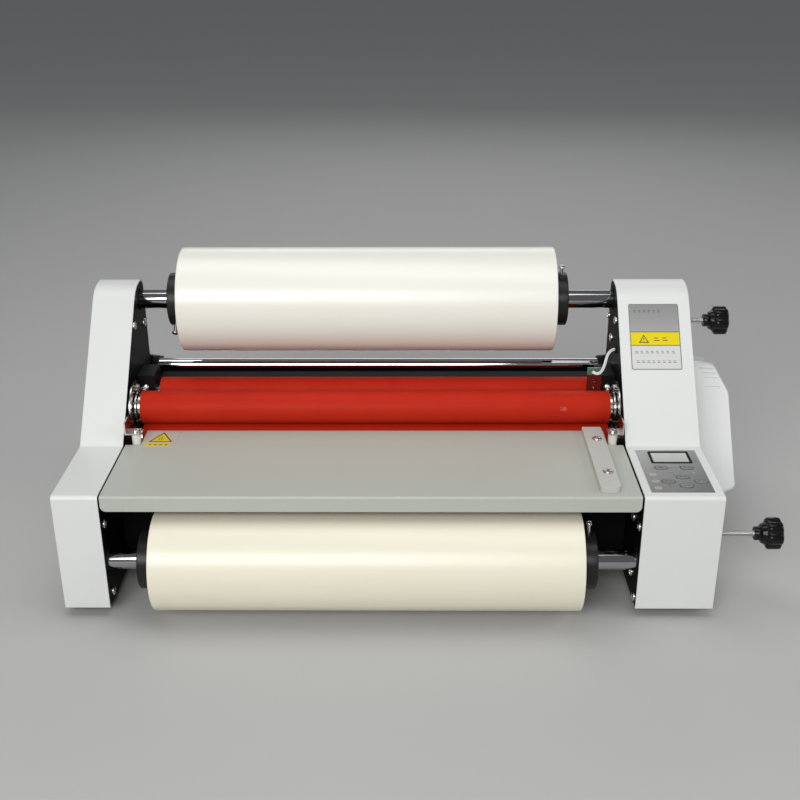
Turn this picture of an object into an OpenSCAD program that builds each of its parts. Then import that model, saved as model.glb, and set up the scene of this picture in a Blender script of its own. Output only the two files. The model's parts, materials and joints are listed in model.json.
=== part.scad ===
// Desktop roll laminator: two film rolls feed a heated front roller pair, and a second pair pulls
// the laminated sheet out under a chromed guide bar at the back.
// Millimetres, +Z up, +X to the operator's right, +Y from the operator to the back.

/* [Casing] */
// Distance between the inner faces of the two side plates
throat_w = 530; // [500:1:560]
// Width of the left cover
left_cover_w = 46; // [42:1:60]
// Width of the right cover, which holds the gears and the control panel
right_cover_w = 78; // [76:1:90]
// Height of the rubber feet
foot_h = 10; // [6:1:14]
// Height of the front boxes above the feet
box_h = 128; // [124:1:132]
// Depth of the front boxes, up to the foot of the slope
box_d = 111; // [108:1:114]
// Height of the uprights above the feet
tower_h = 265; // [262:1:270]
// Distance from the front face to the back of the uprights
tower_d = 268; // [266:1:274]
// Angle of the sloping front of the uprights
slope_angle = 49; // [47:0.5:51]
// Depth of the whole casing
casing_d = 338; // [334:1:346]
// Thickness of the cover sheet
cover_t = 1.2; // [1:0.1:1.5]
// Thickness of the steel side plates
plate_t = 3; // [2.5:0.5:3]

/* [Rollers] */
// Height of the nip above the table
nip_z = 140; // [139:0.5:141]
// Depth of the heated front rollers
front_y = 168; // [167:0.5:169]
// Depth of the rear pulling rollers
rear_y = 215; // [214:0.5:216]
// Diameter of the front rollers over the silicone
front_roller_d = 35.6; // [35:0.1:35.7]
// Diameter of the rear rollers over the silicone
rear_roller_d = 32.6; // [32:0.1:32.7]
// Length of the front silicone sleeves
front_sleeve_l = 508; // [500:1:510]
// Length of the rear silicone sleeves
rear_sleeve_l = 484; // [470:1:486]
// Gear module of the roller gears
gear_module = 1.5; // [1.5]

/* [Film] */
// Diameter of the supply shafts
shaft_d = 21; // [19:0.5:22]
// Diameter of the upper film roll
upper_film_d = 116; // [80:1:120]
// Diameter of the lower film roll
lower_film_d = 102; // [80:1:104]
// Width of the upper film
upper_film_w = 413; // [400:1:430]
// Width of the lower film
lower_film_w = 424.4; // [400:1:430]
// Diameter of the core flanges
flange_d = 59; // [56:1:62]

/* [Feed table] */
// Length of the front lip
lip_h = 16.5; // [12:0.5:18]
// Depth of the table
tray_d = 150; // [146:1:151]

/* [Hidden] */
$fn = 64;

// Casing levels, measured from the table
half_w = throat_w / 2;
plate_out = half_w + plate_t;
left_out = half_w + left_cover_w;
right_out = half_w + right_cover_w;
box_top = foot_h + box_h;
tower_top = foot_h + tower_h;
shoulder_z = box_top + 43;
rear_z = box_top + 13;
slope_top_y = box_d + (tower_top - box_top) / tan(slope_angle);
plate_gap = 0.8;
plate_inset = cover_t + plate_gap;
flange_t = 3;
plate_flange_w = 32;

// Rollers: the gear pitch circles set the distance between the axes of a pair
front_teeth = 24;
rear_teeth = 22;
idler_teeth = 20;
pinion_teeth = 16;
function pitch_r(teeth) = teeth * gear_module / 2;
front_top_z = nip_z + pitch_r(front_teeth);
front_low_z = nip_z - pitch_r(front_teeth);
rear_top_z = nip_z + pitch_r(rear_teeth);
rear_low_z = nip_z - pitch_r(rear_teeth);
journal_r = 7.5;
running_gap = 0.05;
tube_bore_r = 5.5;
bearing_r = 14;
bearing_l = 7;
bearing_x = half_w - 2.3;
gear_x = plate_out + 8;
gear_w = 10;
gear_end = gear_x + gear_w;
block_x = half_w - 19;
block_face = half_w - 0.1;
block_y = [rear_y - 17, rear_y + 17];

// The idler sits below the two lower rollers and meshes with both of their gears
idler_far = pitch_r(front_teeth) + pitch_r(idler_teeth);
idler_near = pitch_r(rear_teeth) + pitch_r(idler_teeth);
lower_span = norm([rear_y - front_y, rear_low_z - front_low_z]);
lower_tilt = atan2(rear_low_z - front_low_z, rear_y - front_y);
idler_angle = lower_tilt
    - acos((idler_far ^ 2 + lower_span ^ 2 - idler_near ^ 2) / (2 * idler_far * lower_span));
idler_yz = [front_y + idler_far * cos(idler_angle), front_low_z + idler_far * sin(idler_angle)];
pinion_reach = pitch_r(rear_teeth) + pitch_r(pinion_teeth);
motor_yz = [rear_y + pinion_reach, rear_low_z];
idler_stud_r = 5;

// Supply shafts, knobs and guide bar
upper_shaft_yz = [250, 254.2];
lower_shaft_yz = [15.5, 59];
upper_knob_yz = [243, 231];
lower_knob_yz = [28, 82];
shaft_r = shaft_d / 2;
bush_r = shaft_r + 1.6;
brake_x = [plate_out + 0.2, plate_out + 22];
rod_r = 3;
knob_l = 26.5;
knob_r = 16;
upper_rod_out = 23.5;
lower_rod_out = 40.5;
core_r = 31.6;
core_bore_r = 28.6;
flange_w = 14.7;
upper_film_x = -8.9;
lower_film_x = -4;
bar_yz = [281, 162];
bar_r = 8;

// Feed table, posts and sensor
sheet_t = 1.5;
tray_x = [-half_w + 1.9, half_w - 2.2];
notch_y = box_d + 3.5;
notch_x = 246.8;
post_x = 252;
post_y = 120;
post_r = 4.6;
post_top = box_top + 12;
guide_x = [223, 243.5];
guide_h = 6.5;
guide_screw_x = 235.2;
guide_screw_y = [42, 117];
board_y = block_y[0] - 2;
board_x = [233.5, 249.5];

// Control panel
panel_x = [273, 334.5];
panel_y = [10, 101.5];
overlay_t = 0.6;
display_x = [287, 324];
display_y = [73.5, 95.5];
key_l = 12;
key_w = 6.4;
key_gap = 0.35;
key_proud = 0.5;
mode_key_xy = [292, 61.5];
power_key_xy = [318, 61.5];
left_key_xy = [293.7, 32];
up_key_xy = [309.7, 41];
right_key_xy = [326, 32];
down_key_xy = [309.7, 22.7];
KEYS = [mode_key_xy, power_key_xy, left_key_xy, up_key_xy, right_key_xy, down_key_xy];
label_t = 0.3;

// Motor cover and mains inlet
motor_cover_d = 55.3;
motor_r = 34;
inlet_x = [276, 304];
inlet_z = [40, 88];

// The origin lies below the centre of the object's box
screw_head_h = 2.4;
min_x = -left_out - screw_head_h;
max_x = right_out + lower_rod_out + knob_l;
min_y = lower_shaft_yz[0] - lower_film_d / 2;
max_y = casing_d + screw_head_h;
module placed() {
    translate([-(min_x + max_x) / 2, -(min_y + max_y) / 2, 0]) children();
}

// Rounded outlines. Each corner of a closed outline is replaced by an arc; the list of radii
// follows the corners. A hollow corner turns the arc the other way.
function unit(v) = v / norm(v);
function turn(a, b) = atan2(a.x * b.y - a.y * b.x, a * b);
function corner(p, q, s, r, steps) =
    let (u = unit(q - p), v = unit(s - q), t = turn(u, v),
        reach = r * tan(abs(t) / 2),
        side = t > 0 ? 1 : -1,
        centre = q - u * reach + side * r * [-u.y, u.x],
        start = atan2(-side * u.x, side * u.y))
    [for (i = [0 : steps]) centre + r * [cos(start + t * i / steps), sin(start + t * i / steps)]];
function rounded(pts, radii, steps = 6) =
    let (n = len(pts))
    [for (i = [0 : n - 1])
        each corner(pts[(i + n - 1) % n], pts[i], pts[(i + 1) % n], radii[i], steps)];

// The same outline drawn a distance d further in
function cross2(a, b) = a.x * b.y - a.y * b.x;
function inner_corner(p, q, s, d) =
    let (u = unit(q - p), v = unit(s - q), a = q + d * [-u.y, u.x], b = q + d * [-v.y, v.x])
    a + u * cross2(b - a, v) / cross2(u, v);
function inset(pts, d) =
    let (n = len(pts))
    [for (i = [0 : n - 1]) inner_corner(pts[(i + n - 1) % n], pts[i], pts[(i + 1) % n], d)];

// Side view of the casing, from the bottom front corner round the back to the top front corner
CASING = [[0, foot_h], [casing_d, foot_h], [casing_d, rear_z], [tower_d, shoulder_z],
    [tower_d, tower_top], [slope_top_y, tower_top], [box_d, box_top], [0, box_top]];
CASING_R = [1.6, 3, 8, -6, 13, 36, -4, 4];
// A negative radius marks a hollow corner, which grows as the outline shrinks
module casing(d) {
    radii = [for (r = CASING_R) r > 0 ? max(r - d, 0.4) : -r + d];
    polygon(rounded(inset(CASING, d), radii));
}

// A side view given depth along X, and a round bar along X, Y or Z
module slab(x0, x1) {
    translate([x0, 0, 0]) rotate([90, 0, 90]) linear_extrude(x1 - x0) children();
}
module rod(x0, x1, r, yz) {
    translate([x0, yz[0], yz[1]]) rotate([0, 90, 0]) cylinder(h = x1 - x0, r = r);
}
module rod_y(y0, y1, r, x, z) {
    translate([x, y0, z]) rotate([-90, 0, 0]) cylinder(h = y1 - y0, r = r);
}
module tube(x0, x1, r, bore, yz) {
    difference() {
        rod(x0, x1, r, yz);
        rod(x0 - 1, x1 + 1, bore, yz);
    }
}
module box(x, y, z) {
    translate([x[0], y[0], z[0]]) cube([x[1] - x[0], y[1] - y[0], z[1] - z[0]]);
}
module both_sides() {
    children();
    mirror([1, 0, 0]) children();
}

// Pan-head screw whose head rises along +Z from the origin, with its shank below
module pan_screw(r = 4.8, shank = 6) {
    difference() {
        union() {
            cylinder(h = screw_head_h - 0.8, r = r);
            translate([0, 0, screw_head_h - 0.8]) cylinder(h = 0.8, r1 = r, r2 = r - 1.4);
            translate([0, 0, -shank]) cylinder(h = shank, r = 1.9);
        }
        for (a = [0, 90]) rotate(a) translate([-2.4, -0.5, screw_head_h - 1.3]) cube([4.8, 1, 2]);
    }
}

// Spur gear along X with straight-flanked, slightly thin teeth, so that a pair runs with backlash
module gear(teeth, x0, x1, bore, yz, phase) {
    pitch = 360 / teeth;
    root_r = pitch_r(teeth) - 1.25 * gear_module;
    tip_r = pitch_r(teeth) + 0.85 * gear_module;
    flank = [[root_r, 0.285], [pitch_r(teeth), 0.222], [tip_r, 0.1]];
    profile = [for (i = [0 : teeth - 1])
        each [for (k = [-3, -2, -1, 1, 2, 3])
            let (f = flank[3 - abs(k)], a = phase + pitch * (i + sign(k) * f[1]))
            f[0] * [cos(a), sin(a)]]];
    translate([0, yz[0], yz[1]]) difference() {
        slab(x0, x1) polygon(profile);
        rod(x0 - 1, x1 + 1, bore, [0, 0]);
    }
}
// Phase of gear b that puts a gap where gear a, seen from b along dir, has its tooth
function mesh_phase(phase_a, teeth_a, teeth_b, dir) =
    dir + 180 + 180 / teeth_b - (phase_a - dir) * teeth_a / teeth_b;
front_low_phase = 90;
front_top_phase = mesh_phase(front_low_phase, front_teeth, front_teeth, 90);
idler_phase = mesh_phase(front_low_phase, front_teeth, idler_teeth, idler_angle);
idler_to_rear = atan2(rear_low_z - idler_yz[1], rear_y - idler_yz[0]);
rear_low_phase = mesh_phase(idler_phase, idler_teeth, rear_teeth, idler_to_rear);
rear_top_phase = mesh_phase(rear_low_phase, rear_teeth, rear_teeth, 90);
pinion_phase = mesh_phase(rear_low_phase, rear_teeth, pinion_teeth, 0);

// Frame ---------------------------------------------------------------------------------------
module plate_body() {
    slab(half_w, plate_out) casing(plate_inset);
    box([half_w, half_w + plate_flange_w], [12, casing_d - 12], [foot_h, foot_h + flange_t]);
    for (y = [[18, 44], [78, 104]])
        box([half_w - 12, half_w + 1], y, [box_top - 4, box_top - sheet_t - 0.1]);
}
module plate_bores() {
    for (z = [front_low_z, front_top_z]) rod(half_w - 1, plate_out + 1, bearing_r, [front_y, z]);
    for (z = [rear_low_z, rear_top_z]) rod(half_w - 1, plate_out + 1, journal_r + 1, [rear_y, z]);
    for (yz = [upper_shaft_yz, lower_shaft_yz]) rod(half_w - 1, plate_out + 1, bush_r, yz);
}
module left_side_plate() {
    color("#1c1c1e") placed() mirror([1, 0, 0]) difference() {
        plate_body();
        plate_bores();
    }
}
lead_exit_yz = [205, 211];
lead_r = 1.6;
module right_side_plate() {
    color("#1c1c1e") placed() {
        difference() {
            plate_body();
            plate_bores();
            rod(half_w - 1, plate_out + 1, lead_r + 1.4, lead_exit_yz);
        }
        rod(plate_out - 1, gear_x + gear_w + 2, idler_stud_r, idler_yz);
        for (a = [-50, 50, 225])
            rod(plate_out - 1, plate_out + 22, 3,
                motor_yz + (motor_r - 4) * [cos(a), sin(a)]);
    }
}

base_y = [80, casing_d - 3];
base_z = [foot_h + flange_t, nip_z - 4];
base_front_z = 92;
base_t = 2;
module base_frame() {
    x = half_w - 0.3;
    color("#202022") placed() {
        box([-x, x], base_y, [base_z[0], base_z[0] + base_t]);
        box([-x, x], [base_y[0], base_y[0] + base_t], [base_z[0], base_front_z]);
        box([-x, x], [base_y[1] - base_t, base_y[1]], base_z);
        box([-x, x], [rear_y + 24, base_y[1]], [base_z[1] - base_t, base_z[1]]);
        box([-x, x], [rear_y + 24, rear_y + 24 + base_t], [base_z[1] - 12, base_z[1]]);
    }
}

module rubber_feet() {
    color("#18181a") placed() for (x = [-1, 1], y = [34, casing_d - 34])
        translate([x * (half_w + 17), y, 0]) cylinder(h = foot_h, r1 = 10, r2 = 12);
}

// Covers ---------------------------------------------------------------------------------------
// Bent sheet round the front, top and back of a plate, closed on its outer side
module cover_shell(outer) {
    difference() {
        slab(half_w, outer) casing(0);
        slab(half_w - 1, outer - cover_t) casing(cover_t);
        box([half_w - 1, outer - cover_t], [cover_t, casing_d - cover_t], [foot_h - 1, foot_h + 3]);
    }
}
module left_cover() {
    color("#e6e8e4") placed() mirror([1, 0, 0]) cover_shell(left_out);
}

module key_outline(grow) {
    r = key_w / 2 + grow;
    for (s = [-1, 1]) translate([s * (key_l - key_w) / 2, 0]) circle(r);
    square([key_l - key_w, 2 * r], center = true);
}
module key_holes(z0, z1) {
    for (k = KEYS) translate([k[0], k[1], z0]) linear_extrude(z1 - z0) key_outline(key_gap);
}
module right_cover() {
    color("#e6e8e4") placed() difference() {
        cover_shell(right_out);
        key_holes(box_top - 5, box_top + 1);
        box(display_x, display_y, [box_top - 5, box_top + 1]);
        rod(right_out - 5, right_out + 1, motor_r + 6, motor_yz);
        rod(right_out - 5, right_out + 1, rod_r + 1.5, upper_knob_yz);
        rod(right_out - 5, right_out + 1, rod_r + 1.5, lower_knob_yz);
        box([inlet_x[0] + 2, inlet_x[1] - 2], [casing_d - 5, casing_d + 1],
            [inlet_z[0] + 2, inlet_z[1] - 2]);
    }
}

// Bulging plastic cover over the motor: a wide foot on the casing and a smaller outer face
MOTOR_FOOT = [[139.5, 56], [330, 56], [330, 150], [286, 172], [236, 184]];
MOTOR_FACE = [[139.5, 60], [324, 60], [324, 112], [276, 138], [219, 162]];
MOTOR_R = [6, 13, 20, 16, 14];
module motor_block(d) {
    radii = [for (r = MOTOR_R) max(r - d, 1)];
    foot = inset(MOTOR_FOOT, d);
    face = inset(MOTOR_FACE, d);
    hull() {
        slab(right_out + 0.1, right_out + 22 - d) polygon(rounded(foot, radii));
        slab(right_out + 40 - d, right_out + 40.5 - d) polygon(rounded(inset(foot, 3), radii));
        slab(right_out + motor_cover_d - 1 - d, right_out + motor_cover_d - d)
            polygon(rounded(inset(face, 4), radii));
    }
}
module motor_cover() {
    color("#e9eae8") placed() difference() {
        motor_block(0);
        translate([-1, 0, 0]) motor_block(2.4);
    }
}

// Control panel ---------------------------------------------------------------------------------
module control_overlay() {
    color("#a9abac") placed() difference() {
        box(panel_x, panel_y, [box_top, box_top + overlay_t]);
        key_holes(box_top - 1, box_top + 2);
        box(display_x, display_y, [box_top - 1, box_top + 2]);
    }
}
module display_window() {
    color("#c9ccc6") placed() box([display_x[0] + 0.2, display_x[1] - 0.2],
        [display_y[0] + 0.2, display_y[1] - 0.2], [box_top - 6, box_top + overlay_t - 0.1]);
}
board_top = box_top - 10;
module control_board() {
    color("#1f5b34") placed() {
        box([panel_x[0] + 1, panel_x[1]], [panel_y[0] + 4, panel_y[1] - 3],
            [board_top - 1.6, board_top]);
        for (k = KEYS) translate([k[0], k[1], board_top]) cylinder(h = 5.2, r = 2.6);
        for (x = [panel_x[0] + 4, panel_x[1] - 4], y = [panel_y[0] + 8, panel_y[1] - 3 - 1])
            translate([x, y, board_top]) cylinder(h = box_top - cover_t - board_top, r = 2);
    }
}
module key_at(xy) {
    color("#b4b6b6") placed() translate([xy[0], xy[1], box_top - 4])
        linear_extrude(4 + overlay_t + key_proud) key_outline(0);
}
module mode_key() { key_at(mode_key_xy); }
module power_key() { key_at(power_key_xy); }
module left_key() { key_at(left_key_xy); }
module up_key() { key_at(up_key_xy); }
module right_key() { key_at(right_key_xy); }
module down_key() { key_at(down_key_xy); }

// The caution plate lies on the slope of the right cover, measured up from the fold
label_x = [276, 330.5];
label_s = [85, 161];
module caution_label() {
    color("#d8d6c8") placed() translate([0, box_d, box_top]) rotate([slope_angle, 0, 0])
        box(label_x, label_s, [0.02, 0.02 + label_t]);
}

// Roller pairs ------------------------------------------------------------------------------------
module roller_sleeve(yz, d, l, core) {
    color("#b8301f") placed() tube(-l / 2, l / 2, d / 2, core, yz);
}
front_core_r = 12.5;
rear_core_r = 10;
module front_tube(yz) {
    x = front_sleeve_l / 2;
    color("#c4c6c8") placed() difference() {
        union() {
            rod(-x - 1, x + 1, front_core_r - 0.02, yz);
            for (s = [[x + 0.05, x + 2.8, 15.5], [x + 2.6, x + 4, 9], [x + 3.8, x + 5.8, 17.2]])
                both_sides() rod(s[0], s[1], s[2], yz);
            rod(-plate_out - 4, gear_end + 1, journal_r, yz);
        }
        rod(-half_w - 30, half_w + 40, tube_bore_r, yz);
    }
}
module rear_shaft(yz) {
    x = rear_sleeve_l / 2;
    color("#b9bbbd") placed() {
        rod(-x, x, rear_core_r - 0.02, yz);
        rod(-plate_out - 1, gear_end + 1, journal_r, yz);
    }
}
module front_upper_sleeve() {
    roller_sleeve([front_y, front_top_z], front_roller_d, front_sleeve_l, front_core_r);
}
module front_lower_sleeve() {
    roller_sleeve([front_y, front_low_z], front_roller_d, front_sleeve_l, front_core_r);
}
module rear_upper_sleeve() {
    roller_sleeve([rear_y, rear_top_z], rear_roller_d, rear_sleeve_l, rear_core_r);
}
module rear_lower_sleeve() {
    roller_sleeve([rear_y, rear_low_z], rear_roller_d, rear_sleeve_l, rear_core_r);
}
module front_upper_tube() { front_tube([front_y, front_top_z]); }
module front_lower_tube() { front_tube([front_y, front_low_z]); }
module rear_upper_shaft() { rear_shaft([rear_y, rear_top_z]); }
module rear_lower_shaft() { rear_shaft([rear_y, rear_low_z]); }

module roller_gear(teeth, yz, phase) {
    color("#8f9294") placed() gear(teeth, gear_x, gear_end, journal_r + 0.02, yz, phase);
}
module front_upper_gear() { roller_gear(front_teeth, [front_y, front_top_z], front_top_phase); }
module front_lower_gear() { roller_gear(front_teeth, [front_y, front_low_z], front_low_phase); }
module rear_upper_gear() { roller_gear(rear_teeth, [rear_y, rear_top_z], rear_top_phase); }
module rear_lower_gear() { roller_gear(rear_teeth, [rear_y, rear_low_z], rear_low_phase); }
module idler_gear() {
    color("#e4e2d8") placed()
        gear(idler_teeth, gear_x, gear_end, idler_stud_r + running_gap, idler_yz, idler_phase);
}
module motor_pinion() {
    color("#8f9294") placed() {
        gear(pinion_teeth, gear_x, gear_end, 4, motor_yz, pinion_phase);
        rod(gear_x - 2, plate_out + 30, 3.98, motor_yz);
    }
}

// Bearings, blocks and springs --------------------------------------------------------------------
module roller_bearings() {
    color("#c9cbcd") placed() both_sides() for (z = [front_low_z, front_top_z])
        tube(bearing_x, bearing_x + bearing_l, bearing_r - 0.02, journal_r + running_gap,
            [front_y, z]);
}
module bearing_blocks() {
    color("#161618") placed() both_sides() difference() {
        box([block_x, block_face], block_y, [rear_low_z - 18, rear_top_z + 26]);
        for (z = [rear_low_z, rear_top_z])
            rod(block_x - 1, block_face + 1, journal_r + running_gap, [rear_y, z]);
    }
}
spring_x = half_w - 8.5;
spring_z = front_top_z + 10;
module pressure_springs() {
    color("#d6d8da") placed() both_sides() {
        difference() {
            rod_y(board_y - 6.5, block_y[0], 4.4, spring_x, spring_z);
            rod_y(board_y - 8, block_y[0] + 1, 3, spring_x, spring_z);
        }
        rod_y(board_y - 7.5, block_y[0], 2.4, spring_x, spring_z);
    }
}

// Heater lamps run through the front rollers and are held by straps on the outside of the plates
lamp_r = 4.2;
lamp_end = half_w + 35;
module heater_lamps() {
    color("#e9e9ee") placed() for (z = [front_low_z, front_top_z])
        rod(-lamp_end, lamp_end, lamp_r, [front_y, z]);
}
ear_x = [half_w - 4, half_w - 2.6];
ear_r = 29;
module lamp_ear() {
    difference() {
        union() {
            rod(ear_x[0], ear_x[1], ear_r, [front_y, front_top_z]);
            box(ear_x, [post_y - 7, front_y - 20], [post_top + 0.1, post_top + 14]);
        }
        rod(ear_x[0] - 1, ear_x[1] + 1, journal_r + 1.5, [front_y, front_top_z]);
        rod(ear_x[0] - 1, ear_x[1] + 1, journal_r + 1.5, [front_y, front_low_z]);
    }
    box([post_x - 5, ear_x[1]], [post_y - 7, post_y + 7], [post_top + 0.1, post_top + 1.5]);
}
module lamp_strap() {
    z = front_low_z - 9;
    difference() {
        union() {
            box([lamp_end - 4, lamp_end - 2.5], [140, front_y + 9], [z, front_top_z + 8]);
            box([plate_out + 0.1, lamp_end - 2.5], [138.5, 140.1], [z, front_top_z]);
            box([plate_out + 0.1, plate_out + 1.6], [126, 140], [z, nip_z + 8]);
        }
        for (z = [front_low_z, front_top_z])
            rod(lamp_end - 6, lamp_end, lamp_r + 0.05, [front_y, z]);
    }
}
module lamp_brackets() {
    color("#c8cacb") placed() both_sides() {
        lamp_ear();
        lamp_strap();
    }
}
module lamp_posts() {
    color("#e8e6df") placed() both_sides()
        translate([post_x, post_y, box_top - 14]) cylinder(h = post_top - box_top + 14, r = post_r);
}

// Guide bar and sensor ------------------------------------------------------------------------------
module guide_bar() {
    color("#dfe1e3") placed() rod(-half_w + 0.2, half_w - 0.2, bar_r, bar_yz);
}
module sensor_board() {
    color("#1f7a5a") placed() difference() {
        box(board_x, [board_y, board_y + 1.6], [nip_z + 22, nip_z + 52.5]);
        for (z = [nip_z + 28.7, nip_z + 37]) rod_y(board_y - 1, board_y + 3, 1.2, 241, z);
    }
}

// Sensor lead: a tube swept along a short curve from the board up into the plate
LEAD = [[238.8, 194, 188.8], [241.6, 192.4, 187.7], [245.2, 191, 188], [248.7, 191, 191.6],
    [251.2, 192.5, 197.5], [253, 195, 203.4], [255.3, 198, 208], [258.7, 201.4, 210.6],
    [262.6, 204, 211.2], [265.6, 205, 211], [269.5, 205, 211]];
LEAD_SIDES = 10;
function lead_dir(i) = unit(LEAD[min(i + 1, len(LEAD) - 1)] - LEAD[max(i - 1, 0)]);
function lead_ring(i) =
    let (t = lead_dir(i), a = unit(cross(t, [0.3, -0.9, 0.3])), b = cross(t, a))
    [for (k = [0 : LEAD_SIDES - 1])
        LEAD[i] + lead_r * (cos(360 * k / LEAD_SIDES) * a + sin(360 * k / LEAD_SIDES) * b)];
module sensor_lead() {
    n = len(LEAD);
    s = LEAD_SIDES;
    points = [for (i = [0 : n - 1]) each lead_ring(i)];
    sides = [for (i = [0 : n - 2], k = [0 : s - 1])
        let (a = i * s + k, b = i * s + (k + 1) % s) each [[a, b, b + s], [a, b + s, a + s]]];
    ends = [[for (k = [s - 1 : -1 : 0]) k], [for (k = [0 : s - 1]) (n - 1) * s + k]];
    color("#f2f2f0") placed() polyhedron(points, concat(sides, ends));
}

// Supply shafts, brakes and knobs ---------------------------------------------------------------------
shaft_x = [-plate_out - 2, brake_x[1] + 3];
module plate_bushes() {
    color("#202022") placed() both_sides() {
        for (yz = [upper_shaft_yz, lower_shaft_yz])
            tube(half_w - 1.5, plate_out, bush_r - 0.02, shaft_r + running_gap, yz);
        tube(half_w - 7, half_w - 0.1, bar_r + 3, bar_r + 0.02, bar_yz);
    }
}
module brake(shaft_yz, knob_yz) {
    reach = knob_yz - shaft_yz;
    difference() {
        union() {
            rod(brake_x[0], brake_x[1], shaft_r + 2.2, shaft_yz);
            rod(brake_x[0], brake_x[1], 8, knob_yz);
            translate([brake_x[0], shaft_yz[0], shaft_yz[1]])
                rotate([atan2(reach[1], reach[0]), 0, 0])
                translate([2, shaft_r + 1, -5])
                cube([brake_x[1] - brake_x[0] - 4, norm(reach) - shaft_r - 6, 10]);
        }
        rod(brake_x[0] - 1, brake_x[1] + 1, shaft_r + running_gap, shaft_yz);
        rod(brake_x[0] - 1, brake_x[1] + 1, rod_r + running_gap, knob_yz);
    }
}
module tension_brakes() {
    color("#3a3a3c") placed() {
        brake(upper_shaft_yz, upper_knob_yz);
        brake(lower_shaft_yz, lower_knob_yz);
    }
}
module supply_shaft(yz) {
    color("#d9dbdd") placed() tube(shaft_x[0], shaft_x[1], shaft_r, shaft_r - 2, yz);
}
module upper_supply_shaft() { supply_shaft(upper_shaft_yz); }
module lower_supply_shaft() { supply_shaft(lower_shaft_yz); }

// Each flange is held on its shaft by a long radial screw, turned by its angle from upright
flange_screw_out = 12;
module core_flanges(yz, mid, film_w, angles) {
    top = flange_d / 2 + flange_screw_out;
    color("#1b1b1d") placed() for (s = [-1, 1]) translate([mid, 0, 0]) scale([s, 1, 1]) {
        tube(film_w / 2 + 0.1, film_w / 2 + flange_w, flange_d / 2, shaft_r + 0.02, yz);
        tube(film_w / 2 - 30, film_w / 2 + 0.2, core_bore_r - 0.05, shaft_r + 0.02, yz);
        translate([film_w / 2 + flange_w / 2, yz[0], yz[1]])
            rotate([angles[s > 0 ? 1 : 0], 0, 0]) {
                translate([0, 0, shaft_r + 2]) cylinder(h = top - shaft_r - 2, r = 2);
                translate([0, 0, top]) cylinder(h = 2.2, r = 3.6);
            }
    }
}
module upper_core_flanges() { core_flanges(upper_shaft_yz, upper_film_x, upper_film_w, [134, 15]); }
module lower_core_flanges() { core_flanges(lower_shaft_yz, lower_film_x, lower_film_w, [250, 0]); }
module film_core(yz, mid, film_w) {
    color("#b99a6b") placed() tube(mid - film_w / 2, mid + film_w / 2, core_r, core_bore_r, yz);
}
module upper_film_core() { film_core(upper_shaft_yz, upper_film_x, upper_film_w); }
module lower_film_core() { film_core(lower_shaft_yz, lower_film_x, lower_film_w); }
module film_roll(yz, mid, film_w, d) {
    color("#f1efe8") placed()
        tube(mid - film_w / 2 + 0.4, mid + film_w / 2 - 0.4, d / 2, core_r + 0.02, yz);
}
module upper_film_roll() {
    film_roll(upper_shaft_yz, upper_film_x, upper_film_w, upper_film_d);
}
module lower_film_roll() {
    film_roll(lower_shaft_yz, lower_film_x, lower_film_w, lower_film_d);
}

// Star knob on a threaded rod: a collar, then a lobed grip
module tension_knob(yz, rod_out) {
    x = right_out + rod_out;
    color("#151517") placed() {
        rod(brake_x[0] + 4, x + 4, rod_r, yz);
        rod(x, x + 8, 7, yz);
        rod(x + 6, x + knob_l, knob_r - 3, yz);
        for (a = [0 : 60 : 300])
            rod(x + 9.5, x + knob_l - 1.5, 4.4, yz + (knob_r - 4.4) * [cos(a), sin(a)]);
    }
}
module upper_tension_knob() { tension_knob(upper_knob_yz, upper_rod_out); }
module lower_tension_knob() { tension_knob(lower_knob_yz, lower_rod_out); }

// Motor -----------------------------------------------------------------------------------------------
module gear_motor() {
    x = plate_out + 22;
    color("#9a9c9e") placed() difference() {
        union() {
            rod(x, x + 34, motor_r, motor_yz);
            rod(x + 34, right_out + motor_cover_d - 12, motor_r - 3, motor_yz);
        }
        rod(x - 1, x + 12, 4 + running_gap, motor_yz);
    }
}

// Mains inlet with its rocker switch --------------------------------------------------------------------
rocker_h = 12;
rocker_tilt = 10;
rocker_pin_r = 1.5;
rocker_axis_y = casing_d - 6;
rocker_x = (inlet_x[0] + inlet_x[1]) / 2;
rocker_z = (inlet_z[0] + inlet_z[1] + 22) / 2;
ROCKER = [[-7.6, -2.5], [7.6, -2.5], [7.6, 5.8], [0, 4], [-7.6, 5.8]];
module power_inlet() {
    y = casing_d;
    color("#141416") placed() difference() {
        union() {
            box(inlet_x, [y + 0.05, y + screw_head_h], inlet_z);
            box([inlet_x[0] + 2.2, inlet_x[1] - 2.2], [y - 28, y + 0.1],
                [inlet_z[0] + 2.2, inlet_z[1] - 2.2]);
        }
        box([inlet_x[0] + 4, inlet_x[1] - 4], [y - 20, y + 5], [inlet_z[0] + 5, inlet_z[0] + 22]);
        box([inlet_x[0] + 4, inlet_x[1] - 4], [y - 12, y + 5], [inlet_z[0] + 27, inlet_z[1] - 5]);
        translate([rocker_x, rocker_axis_y, rocker_z - 10])
            cylinder(h = 20, r = rocker_pin_r + running_gap);
    }
}
module power_switch() {
    color("#26262a") placed() translate([rocker_x, rocker_axis_y, rocker_z]) {
        translate([0, 0, -rocker_h / 2]) rotate(-rocker_tilt) linear_extrude(rocker_h)
            polygon(rounded(ROCKER, [1, 1, 1, 4, 1]));
        translate([0, 0, -8.5]) cylinder(h = 17, r = rocker_pin_r);
    }
}

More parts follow.
